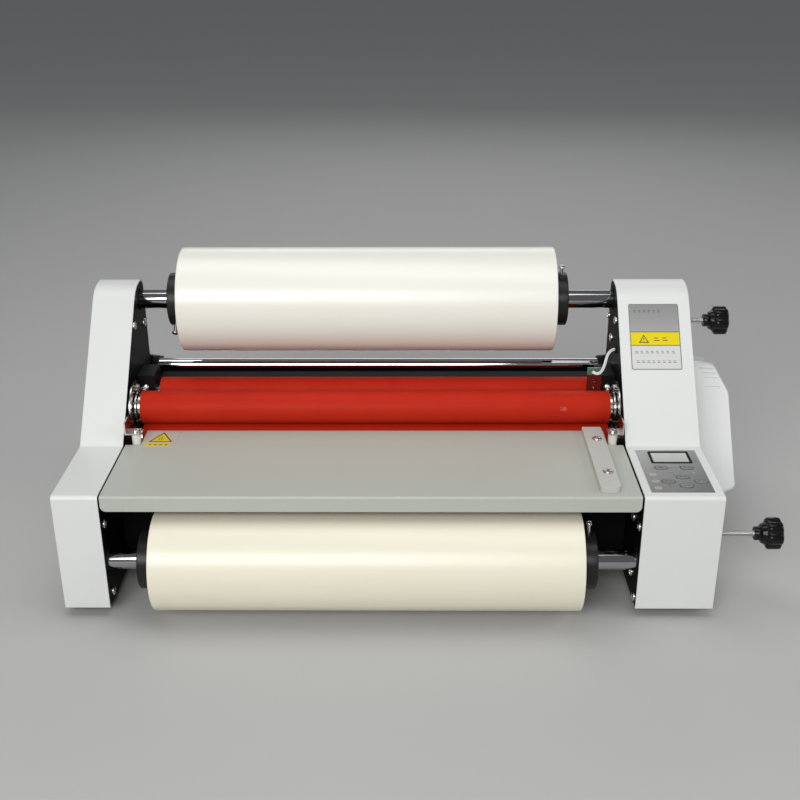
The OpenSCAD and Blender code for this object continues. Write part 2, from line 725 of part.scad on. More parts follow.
// Feed table --------------------------------------------------------------------------------------------
TRAY_SIDE = [[0, box_top - lip_h], [sheet_t, box_top - lip_h], [sheet_t, box_top - sheet_t],
    [tray_d, box_top - sheet_t], [tray_d, box_top], [0, box_top]];
TRAY_SIDE_R = [0.3, 0.3, 0.8, 0.3, 0.3, 2.3];
lip_r = 6;
module feed_tray() {
    color("#c9c9c0") placed() difference() {
        slab(tray_x[0], tray_x[1]) polygon(rounded(TRAY_SIDE, TRAY_SIDE_R, 4));
        for (s = [-1, 1]) box(s > 0 ? [notch_x, half_w] : [-half_w, -notch_x],
            [notch_y, tray_d + 1], [box_top - 5, box_top + 1]);
        for (x = [0, 1]) translate([tray_x[x], -1, box_top - lip_h])
            rotate([-90, 0, 0]) mirror([x, 0, 0]) translate([-1, -lip_r, 0]) difference() {
                cube([lip_r + 1, lip_r + 1, 4]);
                translate([lip_r + 1, 0, -1]) cylinder(h = 6, r = lip_r);
            }
        for (y = guide_screw_y) translate([guide_screw_x, y, box_top - 5]) cylinder(h = 9, r = 2);
    }
}
module side_guide() {
    w = guide_x[1] - guide_x[0];
    r = 6;
    z = box_top + 0.05;
    pts = [[guide_x[0], 8], [guide_x[1], 8], [guide_x[1], 146], [guide_x[0], 146]];
    color("#e4e4e0") placed() difference() {
        translate([0, 0, z]) linear_extrude(guide_h) polygon(rounded(pts, [r, r, 2, 2]));
        for (y = guide_screw_y) translate([guide_screw_x, y, z - 1]) {
            cylinder(h = guide_h + 2, r = 2);
            translate([0, 0, guide_h - 0.4]) cylinder(h = 5, r = 5.3);
        }
    }
}
module guide_screws() {
    color("#b9bcbe") placed() for (y = guide_screw_y)
        translate([guide_screw_x, y, box_top + guide_h - 1.3]) pan_screw(r = 4.9, shank = 7.5);
}
module heat_label() {
    color("#e6d21e") placed() box([-243, -210], [110, 146], [box_top + 0.02, box_top + 0.02 + label_t]);
}

// Pan-head screws on the inner faces of the plates and on the outer walls of the covers
LEFT_PLATE_SCREWS = [[207, 238], [252, 226], [13, 101], [16, 21], [190, 30], [320, 100]];
RIGHT_PLATE_SCREWS = [[262, 231], [218, 240], [237, 213], [41, 94], [12, 99], [30, 36], [10, 19],
    [190, 30], [320, 100]];
COVER_SCREWS = [[36, 110], [36, 30], [305, 30], [305, 140]];
module machine_screws() {
    color("#b9bcbe") placed() {
        for (p = LEFT_PLATE_SCREWS)
            translate([-half_w, p[0], p[1]]) rotate([0, 90, 0]) pan_screw(shank = 2.5);
        for (p = RIGHT_PLATE_SCREWS)
            translate([half_w, p[0], p[1]]) rotate([0, -90, 0]) pan_screw(shank = 2.5);
        for (p = COVER_SCREWS) {
            translate([-left_out, p[0], p[1]]) rotate([0, -90, 0]) pan_screw(r = 4, shank = 1);
            translate([right_out, p[0], p[1]]) rotate([0, 90, 0]) pan_screw(r = 4, shank = 1);
        }
        both_sides() translate([post_x, post_y, post_top + 1.55]) pan_screw(r = 4.3, shank = 9);
    }
}

left_side_plate();
right_side_plate();
base_frame();
left_cover();
right_cover();
motor_cover();
rubber_feet();
machine_screws();
control_overlay();
display_window();
control_board();
caution_label();
roller_bearings();
bearing_blocks();
pressure_springs();
heater_lamps();
lamp_posts();
lamp_brackets();
guide_bar();
sensor_board();
sensor_lead();
plate_bushes();
tension_brakes();
gear_motor();
power_inlet();
feed_tray();
side_guide();
guide_screws();
heat_label();
front_upper_sleeve();
front_upper_tube();
front_upper_gear();
front_lower_sleeve();
front_lower_tube();
front_lower_gear();
rear_upper_sleeve();
rear_upper_shaft();
rear_upper_gear();
rear_lower_sleeve();
rear_lower_shaft();
rear_lower_gear();
idler_gear();
motor_pinion();
upper_supply_shaft();
upper_core_flanges();
upper_film_core();
upper_film_roll();
lower_supply_shaft();
lower_core_flanges();
lower_film_core();
lower_film_roll();
upper_tension_knob();
lower_tension_knob();
power_switch();
mode_key();
power_key();
left_key();
up_key();
right_key();
down_key();
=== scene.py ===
import json
import math
import random
from functools import reduce

import bmesh
import bpy
from mathutils import Matrix, Vector

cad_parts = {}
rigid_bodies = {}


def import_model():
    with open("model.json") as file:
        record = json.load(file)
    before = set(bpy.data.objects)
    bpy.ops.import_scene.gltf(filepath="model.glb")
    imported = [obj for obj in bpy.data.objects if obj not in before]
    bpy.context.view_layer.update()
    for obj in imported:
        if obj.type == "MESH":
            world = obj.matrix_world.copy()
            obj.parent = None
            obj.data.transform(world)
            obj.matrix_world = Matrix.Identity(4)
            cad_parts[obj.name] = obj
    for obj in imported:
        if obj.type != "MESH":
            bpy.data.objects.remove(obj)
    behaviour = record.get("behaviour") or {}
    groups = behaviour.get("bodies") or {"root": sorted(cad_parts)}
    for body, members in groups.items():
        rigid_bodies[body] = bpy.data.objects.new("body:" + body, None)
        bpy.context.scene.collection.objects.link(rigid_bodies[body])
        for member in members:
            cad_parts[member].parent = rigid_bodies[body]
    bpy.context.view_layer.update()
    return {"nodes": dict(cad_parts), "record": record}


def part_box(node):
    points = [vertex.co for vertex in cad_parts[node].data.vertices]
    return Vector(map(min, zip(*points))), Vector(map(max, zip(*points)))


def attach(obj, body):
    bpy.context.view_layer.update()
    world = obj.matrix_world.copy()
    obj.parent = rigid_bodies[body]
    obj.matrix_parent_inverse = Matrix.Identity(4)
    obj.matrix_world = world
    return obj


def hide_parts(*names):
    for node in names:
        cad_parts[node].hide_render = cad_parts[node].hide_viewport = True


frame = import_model()
MM = 0.001
BODY_OF = {n: b for b, nodes in frame["record"]["behaviour"]["bodies"].items() for n in nodes}


def centre(node):
    low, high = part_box(node)
    return (low + high) / 2


# The middle of the throat and the front of the covers give the machine's own zero
ZERO = Vector((centre("guide_bar").x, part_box("left_cover")[0].y, 0))


def at(x, y, z):
    """A point given in millimetres from the middle of the throat, the covers' front and the table."""
    return ZERO + Vector((x, y, z)) * MM


# Shader graphs ---------------------------------------------------------------------------------
class Tone:
    """One output socket of a finish; sums and products of tones become Math nodes."""

    def __init__(self, finish, socket):
        self.finish = finish
        self.socket = socket

    def calc(self, operation, *values):
        return self.finish.add("ShaderNodeMath", {"operation": operation}, list(values))

    def __add__(self, other):
        return self.calc("ADD", self, other)

    __radd__ = __add__

    def __mul__(self, other):
        return self.calc("MULTIPLY", self, other)

    __rmul__ = __mul__

    def __sub__(self, other):
        return self.calc("SUBTRACT", self, other)

    def __rsub__(self, other):
        return self.calc("SUBTRACT", other, self)

    def __truediv__(self, other):
        return self.calc("DIVIDE", self, other)

    def __pow__(self, other):
        return self.calc("POWER", self, other)

    def __gt__(self, other):
        return self.calc("GREATER_THAN", self, other)

    def __lt__(self, other):
        return self.calc("LESS_THAN", self, other)

    def __abs__(self):
        return self.calc("ABSOLUTE", self)

    def high(self, other):
        return self.calc("MAXIMUM", self, other)

    def clip(self):
        return self.finish.add("ShaderNodeClamp", {}, [self, 0.0, 1.0])


def feed(tree, socket, value):
    """Links a socket to a tone or another socket, or sets the value that it holds."""
    if isinstance(value, Tone):
        value = value.socket
    if isinstance(value, bpy.types.NodeSocket):
        tree.links.new(value, socket)
    elif value is not None:
        socket.default_value = value


def new_node(tree, kind, settings, values):
    """Makes any node: its settings first, then what its sockets hold or are fed by."""
    node = tree.nodes.new(kind)
    for key, value in settings.items():
        setattr(node, key, value)
    for key, value in values.items() if isinstance(values, dict) else enumerate(values):
        feed(tree, node.inputs[key], value)
    return node


class Finish:
    """A procedural material. Patterns are drawn on Object coordinates, in metres."""

    def __init__(self, name, color, rough=0.5, metal=0.0, **fixed):
        self.mat = bpy.data.materials.new(name)
        self.mat.use_nodes = True
        self.tree = self.mat.node_tree
        self.tree.nodes.clear()
        out = self.tree.nodes.new("ShaderNodeOutputMaterial")
        self.shader = self.tree.nodes.new("ShaderNodeBsdfPrincipled")
        self.tree.links.new(self.shader.outputs[0], out.inputs["Surface"])
        self.mat.diffuse_color = (*color, 1)
        self.put("Base Color", (*color, 1))
        self.put("Roughness", rough)
        self.put("Metallic", metal)
        for key, value in fixed.items():
            self.put(key.replace("_", " ").title().replace("Ior", "IOR"), value)
        self.where = self.add("ShaderNodeTexCoord", {}, [], "Object")

    def add(self, kind, settings, values, out=0):
        return Tone(self, new_node(self.tree, kind, settings, values).outputs[out])

    def put(self, name, value):
        feed(self.tree, self.shader.inputs[name], value)

    def noise(self, scale, detail=2.0, rough=0.5, where=None, distortion=0.0):
        return self.add("ShaderNodeTexNoise", {"normalize": True},
                        {"Vector": where or self.where, "Scale": scale, "Detail": detail,
                         "Roughness": rough, "Distortion": distortion})

    def stretched(self, x, y, z):
        return self.add("ShaderNodeMapping", {}, {"Vector": self.where, "Scale": (x, y, z)})

    def axes(self):
        split = self.add("ShaderNodeSeparateXYZ", {}, [self.where])
        return [Tone(self, split.socket.node.outputs[i]) for i in range(3)]

    def mix(self, mask, a, b):
        """Colour a where the mask is 0 and colour b where it is 1."""
        a, b = [(*c, 1) if isinstance(c, tuple) else c for c in (a, b)]
        # 6 and 7 are the node's two colours and 2 is the colour that it gives
        return self.add("ShaderNodeMix", {"data_type": "RGBA"}, {"Factor": mask, 6: a, 7: b}, 2)

    def surface(self, color, rough, height, depth):
        """Feeds what changes over a piece: its colour, its gloss and bumps of depth metres."""
        self.put("Base Color", color)
        self.put("Roughness", rough)
        self.put("Normal", self.add("ShaderNodeBump", {}, {"Height": height, "Distance": depth,
                                                           "Strength": 1.0}))
        return self

    def plate(self, u, v, box, r, soft=0.0002):
        """1 inside a rounded rectangle (u0, v0, u1, v1), fading out over soft."""
        u0, v0, u1, v1 = box
        qu = (abs(u - (u0 + u1) / 2) - ((u1 - u0) / 2 - r)).high(0.0)
        qv = (abs(v - (v0 + v1) / 2) - ((v1 - v0) / 2 - r)).high(0.0)
        gap = (qu * qu + qv * qv) ** 0.5 - r
        return (0.5 - gap / soft).clip()

    def outline(self, u, v, box, r, line):
        """1 on a line that runs just inside a rounded rectangle."""
        u0, v0, u1, v1 = box
        inner = (u0 + line, v0 + line, u1 - line, v1 - line)
        return self.plate(u, v, box, r) * (1 - self.plate(u, v, inner, max(r - line, 0.0001)))

    def disc(self, u, v, cu, cv, r, soft):
        du, dv = u - cu, v - cv
        return (0.5 - ((du * du + dv * dv) ** 0.5 - r) / soft).clip()

    def triangle(self, u, v, cu, base, half, tall, soft=0.3):
        """1 inside an upright triangle that stands on v = base, in millimetres."""
        slope = tall / half
        side = (tall + base - v - abs(u - cu) * slope) / math.hypot(1, slope)
        return (side / soft + 0.5).clip() * ((v - base) / soft + 0.5).clip()


def joined(marks):
    """Marks laid over one another: 1 wherever any of them is."""
    return reduce(Tone.high, marks)


def coat(name, color, grain, rough, depth, dirt, **fixed):
    """Powder coat: a fine pebbled skin with a faint drift of tone and gloss."""
    f = Finish(name, color, rough, **fixed)
    fine = f.noise(grain, 3.0, 0.55)
    broad = f.noise(9.0, 3.0)
    specks = f.noise(grain * 0.35, 2.0)
    shade = tuple(c * (1 - 2.2 * dirt) for c in color)
    return f.surface(f.mix((broad * 0.6 + specks * 0.4 - 0.25).clip(), color, shade),
                     rough + (fine - 0.5) * 0.16 + (broad - 0.5) * 0.1,
                     fine * 0.7 + specks * 0.5, depth)


def metal(name, color, rough, along, grain, streak, depth=0.00002):
    """Drawn, ground or turned metal: streaks square to the axis on which along is largest."""
    f = Finish(name, color, rough, 1.0)
    fine = f.noise(grain, 2.0, 0.6, f.stretched(*along))
    broad = f.noise(14.0, 3.0)
    shade = tuple(c * (1 - 2.4 * streak) for c in color)
    return f.surface(f.mix((fine * 0.6 + broad * 0.4).clip(), color, shade),
                     rough + (fine - 0.5) * streak * 2 + (broad - 0.5) * streak, fine, depth)


def moulded(name, color, rough, grain=1400.0, depth=0.00003, drift=0.12, **fixed):
    """Moulded plastic or rubber with a fine skin and a little dust in its tone."""
    f = Finish(name, color, rough, **fixed)
    fine = f.noise(grain, 2.0, 0.6)
    broad = f.noise(22.0, 3.0)
    lifted = tuple(min(1.0, c * (1 + drift) + 0.006) for c in color)
    return f.surface(f.mix((broad * 1.2 - 0.1).clip(), color, lifted),
                     rough + (fine - 0.5) * 0.12 + (broad - 0.5) * 0.1, fine, depth)


white_coat = coat("white_powder_coat", (0.74, 0.755, 0.735), 620.0, 0.36, 0.00011, 0.012)
tray_coat = coat("table_powder_coat", (0.475, 0.492, 0.438), 760.0, 0.42, 0.00007, 0.02)
black_coat = coat("black_powder_coat", (0.004, 0.004, 0.0042), 700.0, 0.5, 0.00012, 0.1,
                  specular_ior_level=0.08)
frame_coat = coat("base_powder_coat", (0.004, 0.004, 0.0042), 700.0, 0.5, 0.0001, 0.1,
                  specular_ior_level=0.07)
cover_plastic = moulded("motor_cover_plastic", (0.74, 0.755, 0.74), 0.34, 700.0, 0.00006, 0.03)
knob_black = moulded("knob_phenolic", (0.003, 0.003, 0.0035), 0.14, 500.0, 0.00002, 0.2,
                     specular_ior_level=0.22)
plain_black = moulded("black_nylon", (0.004, 0.004, 0.0045), 0.45, 900.0, 0.00004, 0.3,
                      specular_ior_level=0.1)
foot_rubber = moulded("foot_rubber", (0.02, 0.02, 0.02), 0.75, 900.0, 0.00008, 0.4)
flange_black = moulded("flange_black", (0.009, 0.009, 0.01), 0.34, 500.0, 0.00005, 0.3,
                       specular_ior_level=0.25)
gear_nylon = moulded("gear_nylon", (0.72, 0.69, 0.6), 0.42)
guide_plastic = moulded("guide_plastic", (0.52, 0.52, 0.485), 0.38, 800.0, 0.00003, 0.04)
lead_silicone = moulded("lead_silicone", (0.8, 0.8, 0.77), 0.4, 900.0, 0.00003, 0.04)
steatite = moulded("steatite", (0.74, 0.72, 0.66), 0.55, 1600.0, 0.00006, 0.05)
lens_grey = moulded("indicator_lens", (0.2, 0.2, 0.19), 0.2, 900.0, 0.00002, 0.1)
chrome = metal("bright_chrome", (0.62, 0.62, 0.63), 0.06, (30, 1, 1), 60.0, 0.015, 0.000004)
shaft_chrome = metal("shaft_chrome", (0.42, 0.42, 0.43), 0.1, (1, 12, 12), 90.0, 0.03, 0.00001)
nickel = metal("nickel_plate", (0.7, 0.69, 0.67), 0.2, (1, 1, 1), 700.0, 0.06)
ground_steel = metal("ground_steel", (0.6, 0.59, 0.57), 0.2, (14, 1, 1), 260.0, 0.08)
stainless = metal("stainless_sheet", (0.63, 0.61, 0.58), 0.22, (1, 14, 1), 200.0, 0.08)
dark_steel = metal("black_oxide", (0.05, 0.05, 0.053), 0.36, (1, 1, 1), 700.0, 0.1)
gear_steel = metal("hobbed_steel", (0.42, 0.42, 0.43), 0.3, (10, 1, 1), 220.0, 0.1)
alloy = metal("cast_alloy", (0.5, 0.51, 0.52), 0.42, (1, 1, 1), 500.0, 0.12, 0.00008)


def silicone_finish():
    """Red rubber, slightly clouded and dusty, with one pale rub near its right end."""
    f = Finish("red_silicone", (0.5, 0.024, 0.008), 0.5, specular_ior_level=0.1)
    fine = f.noise(900.0, 2.0, 0.6, f.stretched(0.25, 1, 1))
    cloud = f.noise(18.0, 4.0, 0.6)
    dust = f.noise(240.0, 3.0)
    base = f.mix((cloud * 1.4 - 0.2).clip(), (0.52, 0.024, 0.007), (0.45, 0.017, 0.006))
    base = f.mix(((dust - 0.68) * 9).clip() * 0.08, base, (0.62, 0.16, 0.12))
    x, y, z = f.axes()
    smear = f.noise(1100.0, 3.0, 0.7, f.stretched(0.8, 1, 0.5), distortion=0.6)
    low, high = at(199.5, 0, 161.5), at(206.5, 0, 165)
    rub = f.plate(x, z, (low.x, low.z, high.x, high.z), 0.0015, 0.0022)
    worn = (rub * (smear * 5.5 - 2.6)).clip() * (y < at(0, 160, 0).y)
    return f.surface(f.mix(worn * 0.5, base, (0.8, 0.42, 0.36)),
                     0.46 + (fine - 0.5) * 0.16 + cloud * 0.08, fine, 0.00003)


def film_finish(name, tone, warm):
    """Wound film: satin, with faint bands that run along the roll."""
    f = Finish(name, tone, 0.3, coat_weight=0.2, coat_roughness=0.25)
    bands = f.noise(70.0, 3.0, 0.6, f.stretched(0.12, 1, 1))
    wrap = f.noise(1500.0, 2.0, 0.5, f.stretched(0.02, 1, 1))
    return f.surface(f.mix((bands * 1.2 - 0.1).clip(), tone, warm), 0.32 + (bands - 0.5) * 0.16,
                     bands * 0.6 + wrap * 0.25, 0.00006)


def card_finish():
    """Spiral-wound card with its fibres along the core."""
    f = Finish("spiral_card", (0.42, 0.3, 0.17), 0.8)
    fibre = f.noise(500.0, 4.0, 0.7, f.stretched(0.2, 1, 1))
    return f.surface(f.mix(fibre, (0.46, 0.33, 0.19), (0.3, 0.2, 0.11)), 0.7 + fibre * 0.2,
                     fibre, 0.0001)


def quartz_finish():
    """The lamps' clear tubes, faintly streaked along their length."""
    f = Finish("quartz", (0.85, 0.86, 0.88), 0.05, alpha=0.4)
    streak = f.noise(60.0, 2.0, 0.5, f.stretched(0.05, 1, 1))
    f.put("Base Color", f.mix(streak, (0.9, 0.9, 0.92), (0.75, 0.76, 0.8)))
    f.put("Roughness", 0.04 + streak * 0.08)
    return f


def board_finish():
    """Green solder mask over copper tracks; the part next to the rollers carries a painted red
    reflection of the rollers.
    """
    f = Finish("circuit_green", (0.08, 0.19, 0.13), 0.22, coat_weight=0.4, coat_roughness=0.1)
    x, y, z = f.axes()
    cells = f.add("ShaderNodeTexBrick", {"offset": 0.5, "squash": 1.0},
                  {"Vector": f.where, "Scale": 260.0, "Mortar Size": 0.06,
                   "Color1": (0, 0, 0, 1), "Color2": (0, 0, 0, 1), "Mortar": (1, 1, 1, 1)})
    tracks = f.noise(420.0, 1.0)
    mask = f.mix((cells * 0.5 + (tracks > 0.56) * 0.4).clip(),
                 (0.07, 0.18, 0.12), (0.12, 0.25, 0.17))
    # painted red reflection: the board's low front part, next to the rollers, takes the rollers' red
    reflection_edge = at(0, 220, 184.5)
    roller_reflection = (z < reflection_edge.z) * (y < reflection_edge.y)
    return f.surface(f.mix(roller_reflection, mask, (0.13, 0.014, 0.008)), 0.2 + tracks * 0.12, cells, 0.00003)


red_silicone = silicone_finish()
upper_film = film_finish("satin_film_upper", (0.88, 0.865, 0.79), (0.84, 0.82, 0.73))
lower_film = film_finish("satin_film_lower", (0.86, 0.815, 0.67), (0.81, 0.76, 0.6))
card = card_finish()
quartz = quartz_finish()
green_board = board_finish()

# Control panel print: places in millimetres, as on the control board below it
KEYS = {"mode_key": (292, 61.5), "power_key": (318, 61.5), "left_key": (293.7, 32),
        "up_key": (309.7, 41), "right_key": (326, 32), "down_key": (309.7, 22.7)}


def print_box(u0, v0, u1, v1):
    low, high = at(u0, v0, 0), at(u1, v1, 0)
    return (low.x, low.y, high.x, high.y)


def around(u, v, half_u, half_v):
    return print_box(u - half_u, v - half_v, u + half_u, v + half_v)


def overlay_finish():
    """Brushed silver film with painted shade that darkens it towards its front right corner, and plain
    printed marks.
    """
    f = Finish("silver_overlay", (0.3, 0.3, 0.3), 0.34, 0.35)
    x, y, z = f.axes()
    low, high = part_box("control_overlay")
    across, down = (x - low.x) / (high.x - low.x), (high.y - y) / (high.y - low.y)
    # painted shade: the film darkens smoothly towards its front right corner
    painted_shade = (across * 0.45 + down * 0.75 - 0.1).clip()
    brushed = f.noise(900.0, 2.0, 0.6, f.stretched(0.06, 1, 1))
    base = f.mix(painted_shade, (0.47, 0.475, 0.47), (0.15, 0.155, 0.155))
    base = f.mix(brushed * 0.25, base, (0.2, 0.2, 0.2))
    rings = [f.outline(x, y, around(kx, ky, 7.3, 4.5), 0.0044, 0.0007) for kx, ky in KEYS.values()]
    dashes = ((300.5, 60.6, 303.2, 61.6), (304.6, 60.6, 307.3, 61.6), (292.6, 20.4, 293.3, 26.0),
              (301.6, 43.6, 302.2, 48.8), (296.5, 50.4, 302.2, 51.0))
    ink = joined(rings + [f.plate(x, y, print_box(*dash), 0.0001) for dash in dashes])
    base = f.mix(ink * 0.85, base, (0.05, 0.05, 0.05))
    column = 281
    light = [f.plate(x, y, print_box(321.3, 49.9, 324.2, 50.7), 0.0003)]
    for level in (46.8, 32.7, 18.5):
        light.append(f.outline(x, y, around(column, level, 3.4, 2.6), 0.0025, 0.0009))
        light.append(f.plate(x, y, around(column, level, 1.6, 0.5), 0.0003))
    return f.surface(f.mix(joined(light) * 0.8, base, (0.78, 0.7, 0.68)), 0.3 + brushed * 0.14,
                     brushed, 0.00002)


def key_finish():
    """Embossed key film with one or two short plain bars for its legend."""
    f = Finish("key_film", (0.3, 0.3, 0.3), 0.36, 0.3)
    x, y, z = f.axes()
    brushed = f.noise(900.0, 2.0, 0.6, f.stretched(0.06, 1, 1))
    base = f.mix(brushed, (0.27, 0.275, 0.275), (0.22, 0.225, 0.225))
    bars = []
    for name, (kx, ky) in KEYS.items():
        for u0, u1 in ((-2.6, 2.6),) if name == "mode_key" else ((-3.6, -0.8), (0.8, 3.6)):
            bars.append(f.plate(x, y, print_box(kx + u0, ky - 0.9, kx + u1, ky + 0.9), 0.0003))
    return f.surface(f.mix(joined(bars) * 0.8, base, (0.04, 0.04, 0.04)), 0.3 + brushed * 0.14,
                     brushed, 0.00002)


def display_finish():
    """A grey liquid crystal with painted shade that darkens it towards its front edge, and faint unlit
    digits.
    """
    f = Finish("display_grey", (0.4, 0.42, 0.38), 0.16, coat_weight=0.8, coat_roughness=0.06)
    x, y, z = f.axes()
    low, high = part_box("display_window")
    deep = f.noise(60.0, 2.0)
    # painted shade: the crystal darkens towards its front edge, with a little random tone from deep
    base = f.mix(((high.y - y) / (high.y - low.y)).clip() * 0.5 + deep * 0.2,
                 (0.58, 0.6, 0.55), (0.34, 0.36, 0.33))
    bars = ((0, 0, 3, 0.5), (0, 5.5, 3, 6), (0, 11, 3, 11.5), (0, 0, 0.5, 11.5), (2.5, 0, 3, 11.5))
    first, step, foot, count = 291.0, 5.0, 78.7, 6
    digits = joined(f.plate(x, y, print_box(left + u0, foot + v0, left + u1, foot + v1), 0.0001)
                    for left in [first + i * step for i in range(count)] for u0, v0, u1, v1 in bars)
    f.put("Base Color", f.mix(digits * 0.16, base, (0.1, 0.12, 0.1)))
    f.put("Roughness", 0.12 + deep * 0.08)
    return f


# The right cover's slope, and a point where its lower end lies, for the plate printed on it
SLOPE = math.radians(49)
LABEL_FOOT = at(0, 111, 138)


def caution_finish():
    """A printed plate: grey head with painted shade that darkens it towards its top, yellow band with a
    plain triangle, white foot with plain bars.
    """
    f = Finish("caution_print", (0.7, 0.7, 0.66), 0.4, specular_ior_level=0.3)
    x, y, z = f.axes()
    s = ((y - LABEL_FOOT.y) * math.cos(SLOPE) + (z - LABEL_FOOT.z) * math.sin(SLOPE)) / MM - 2
    u = (x - ZERO.x) / MM
    paper = f.noise(900.0, 2.0)
    left, right, sign_at = 276.6, 330.0, 291.0
    base = f.mix(paper * 0.3, (0.66, 0.665, 0.64), (0.6, 0.6, 0.58))
    head = f.plate(u, s, (277.2, 126.0, 329.4, 157.8), 0.8, 0.3)
    # painted shade on the head: darker towards its top, lighter towards the band
    base = f.mix(head, base, f.mix(((158 - s) / 32).clip(), (0.25, 0.255, 0.25), (0.36, 0.36, 0.35)))
    band = f.plate(u, s, (left, 111.0, right, 126.0), 0.3, 0.3)
    base = f.mix(band, base, (0.78, 0.63, 0.0))
    inside = f.triangle(u, s, sign_at, 114.7, 3.7, 6.6)
    marks = [f.plate(u, s, (left, level, right, level + 0.8), 0.2, 0.3) for level in (110.4, 125.8)]
    marks += [f.triangle(u, s, sign_at, 113.6, 5.6, 9.6) * (1 - inside),
              f.plate(u, s, (sign_at - 0.4, 116.8, sign_at + 0.4, 119.6), 0.2, 0.2),
              f.disc(u, s, sign_at, 115.7, 0.5, 0.2)]
    rng = random.Random(4)
    rows = ((149.2, 281.5, 6, 5.2, 3.2, 2.8), (116.0, 302.0, 2, 9.0, 6.0, 4.6),
            (101.8, 281.0, 8, 5.6, 3.6, 3.0), (91.0, 282.0, 8, 5.6, 3.6, 3.0))
    for level, start, count, step, width, tall in rows:
        for i in range(count):
            wide = width * (0.75 + 0.25 * rng.random())
            u0 = start + i * step
            for low, high, part in ((0, 0.22, 1), (0.6, 0.82, 0.8)):
                bar = (u0, level + tall * low, u0 + wide * part, level + tall * high)
                marks.append(f.plate(u, s, bar, 0.1, 0.2))
    base = f.mix(joined(marks) * 0.9, base, (0.03, 0.03, 0.03))
    rim = f.outline(u, s, (276.2, 83.2, 330.3, 158.8), 2.2, 0.9)
    return f.surface(f.mix(rim * 0.85, base, (0.08, 0.08, 0.08)), 0.38 + paper * 0.1, paper, 0.00001)


def heat_finish():
    """Pale sticker with a yellow triangle outlined in black and a yellow strip below it."""
    f = Finish("heat_print", (0.7, 0.65, 0.5), 0.34, coat_weight=0.3, coat_roughness=0.2)
    x, y, z = f.axes()
    u, v = (x - ZERO.x) / MM, (y - ZERO.y) / MM
    paper = f.noise(700.0, 2.0)
    sign_at, yellow = -227.4, (0.74, 0.6, 0.02)
    base = f.mix(paper * 0.4, (0.52, 0.51, 0.45), (0.47, 0.46, 0.41))
    base = f.mix(f.triangle(u, v, sign_at, 121.2, 12.6, 23.4), base, (0.03, 0.03, 0.02))
    base = f.mix(f.triangle(u, v, sign_at, 122.6, 10.4, 19.2), base, yellow)
    bend = v.calc("SINE", v * 1.5) * 0.5
    waves = []
    for i in (-1, 0, 1):
        wave = (0.5 - (abs(u - (sign_at + 2.5 * i) - bend) - 0.42) / 0.3).clip()
        waves.append(wave * f.plate(u, v, (-234, 125.5, -225, 134.5 - abs(i) * 3), 0.2, 0.3))
    base = f.mix(joined(waves) * 0.9, base, (0.04, 0.04, 0.03))
    base = f.mix(f.plate(u, v, (-242.4, 110.8, -216.6, 118.8), 0.4, 0.3), base, (0.74, 0.62, 0.02))
    first, step, count = -238.5, 5.6, 4
    bars = joined(f.plate(u, v, (left, 113.4, left + 3.0, 115.6), 0.2, 0.3)
                  for left in [first + i * step for i in range(count)])
    return f.surface(f.mix(bars * 0.8, base, (0.08, 0.07, 0.02)), 0.32 + paper * 0.08,
                     paper, 0.00001)


overlay_print = overlay_finish()
key_print = key_finish()
display_grey = display_finish()
caution_print = caution_finish()
heat_print = heat_finish()


# Mesh tools ------------------------------------------------------------------------------------
def in_scene(name, data):
    obj = bpy.data.objects.new(name, data)
    bpy.context.scene.collection.objects.link(obj)
    return obj


def evaluated(obj):
    """The plain mesh that an object's modifiers make; the object goes."""
    bpy.context.view_layer.update()
    graph = bpy.context.evaluated_depsgraph_get()
    made = bpy.data.meshes.new_from_object(obj.evaluated_get(graph), depsgraph=graph)
    bpy.data.objects.remove(obj)
    return made


def finish_mesh(mesh, finish, smooth=35):
    mesh.materials.clear()
    mesh.materials.append(finish.mat)
    mesh.shade_smooth()
    mesh.set_sharp_from_angle(angle=math.radians(smooth))
    mesh.update()


def piece(name, mesh, finish, body, nodes=(), smooth=35):
    """A finished piece at the origin: its material, its body, and the CAD nodes that it stands for."""
    finish_mesh(mesh, finish, smooth)
    obj = in_scene(name, mesh)
    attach(obj, body)
    if nodes:
        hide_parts(*nodes)
    return obj


def mesh_from(bm, name):
    mesh = bpy.data.meshes.new(name)
    bm.to_mesh(mesh)
    bm.free()
    return mesh


def sewn(node):
    """A merged copy of a CAD node's mesh with its flat faces joined up."""
    bm = bmesh.new()
    bm.from_mesh(frame["nodes"][node].data)
    bmesh.ops.remove_doubles(bm, verts=bm.verts, dist=2e-6)
    bmesh.ops.dissolve_degenerate(bm, dist=1e-6, edges=bm.edges)
    bmesh.ops.dissolve_limit(bm, angle_limit=math.radians(0.4), verts=bm.verts, edges=bm.edges)
    return bm


def soften(bm, width, sharp=38, pick=None, rings=2):
    """Rounds the sharp edges that pick accepts by width, in millimetres."""
    bm.normal_update()
    edges = [e for e in bm.edges if len(e.link_faces) == 2
             and e.calc_face_angle(0) > math.radians(sharp) and (pick is None or pick(e))]
    bmesh.ops.bevel(bm, geom=edges, offset=width * MM, segments=rings, profile=0.5,
                    affect="EDGES", clamp_overlap=True)
    return bm


def even_shading(obj):
    """Keeps the big flat faces evenly shaded beside their narrow rounded edges."""
    level = obj.modifiers.new("even_shading", "WEIGHTED_NORMAL")
    level.mode, level.keep_sharp, level.weight = "FACE_AREA", True, 60
    return obj


def dressed(node, finish, width, rings=2):
    """A piece that is a CAD node with its sharp edges softened."""
    bm = soften(sewn(node), width, rings=rings)
    even_shading(piece(node + "_finished", mesh_from(bm, node), finish, BODY_OF[node], [node]))


def skin(bm, rings, closed=False):
    """Joins each ring of corners to the next one; an open chain gets a flat face at either end."""
    pairs = list(zip(rings, rings[1:]))
    if closed:
        pairs.append((rings[-1], rings[0]))
    for a, b in pairs:
        for k in range(len(a)):
            n = (k + 1) % len(a)
            bm.faces.new((a[k], a[n], b[n], b[k]))
    if not closed:
        bm.faces.new(rings[0])
        bm.faces.new(rings[-1])


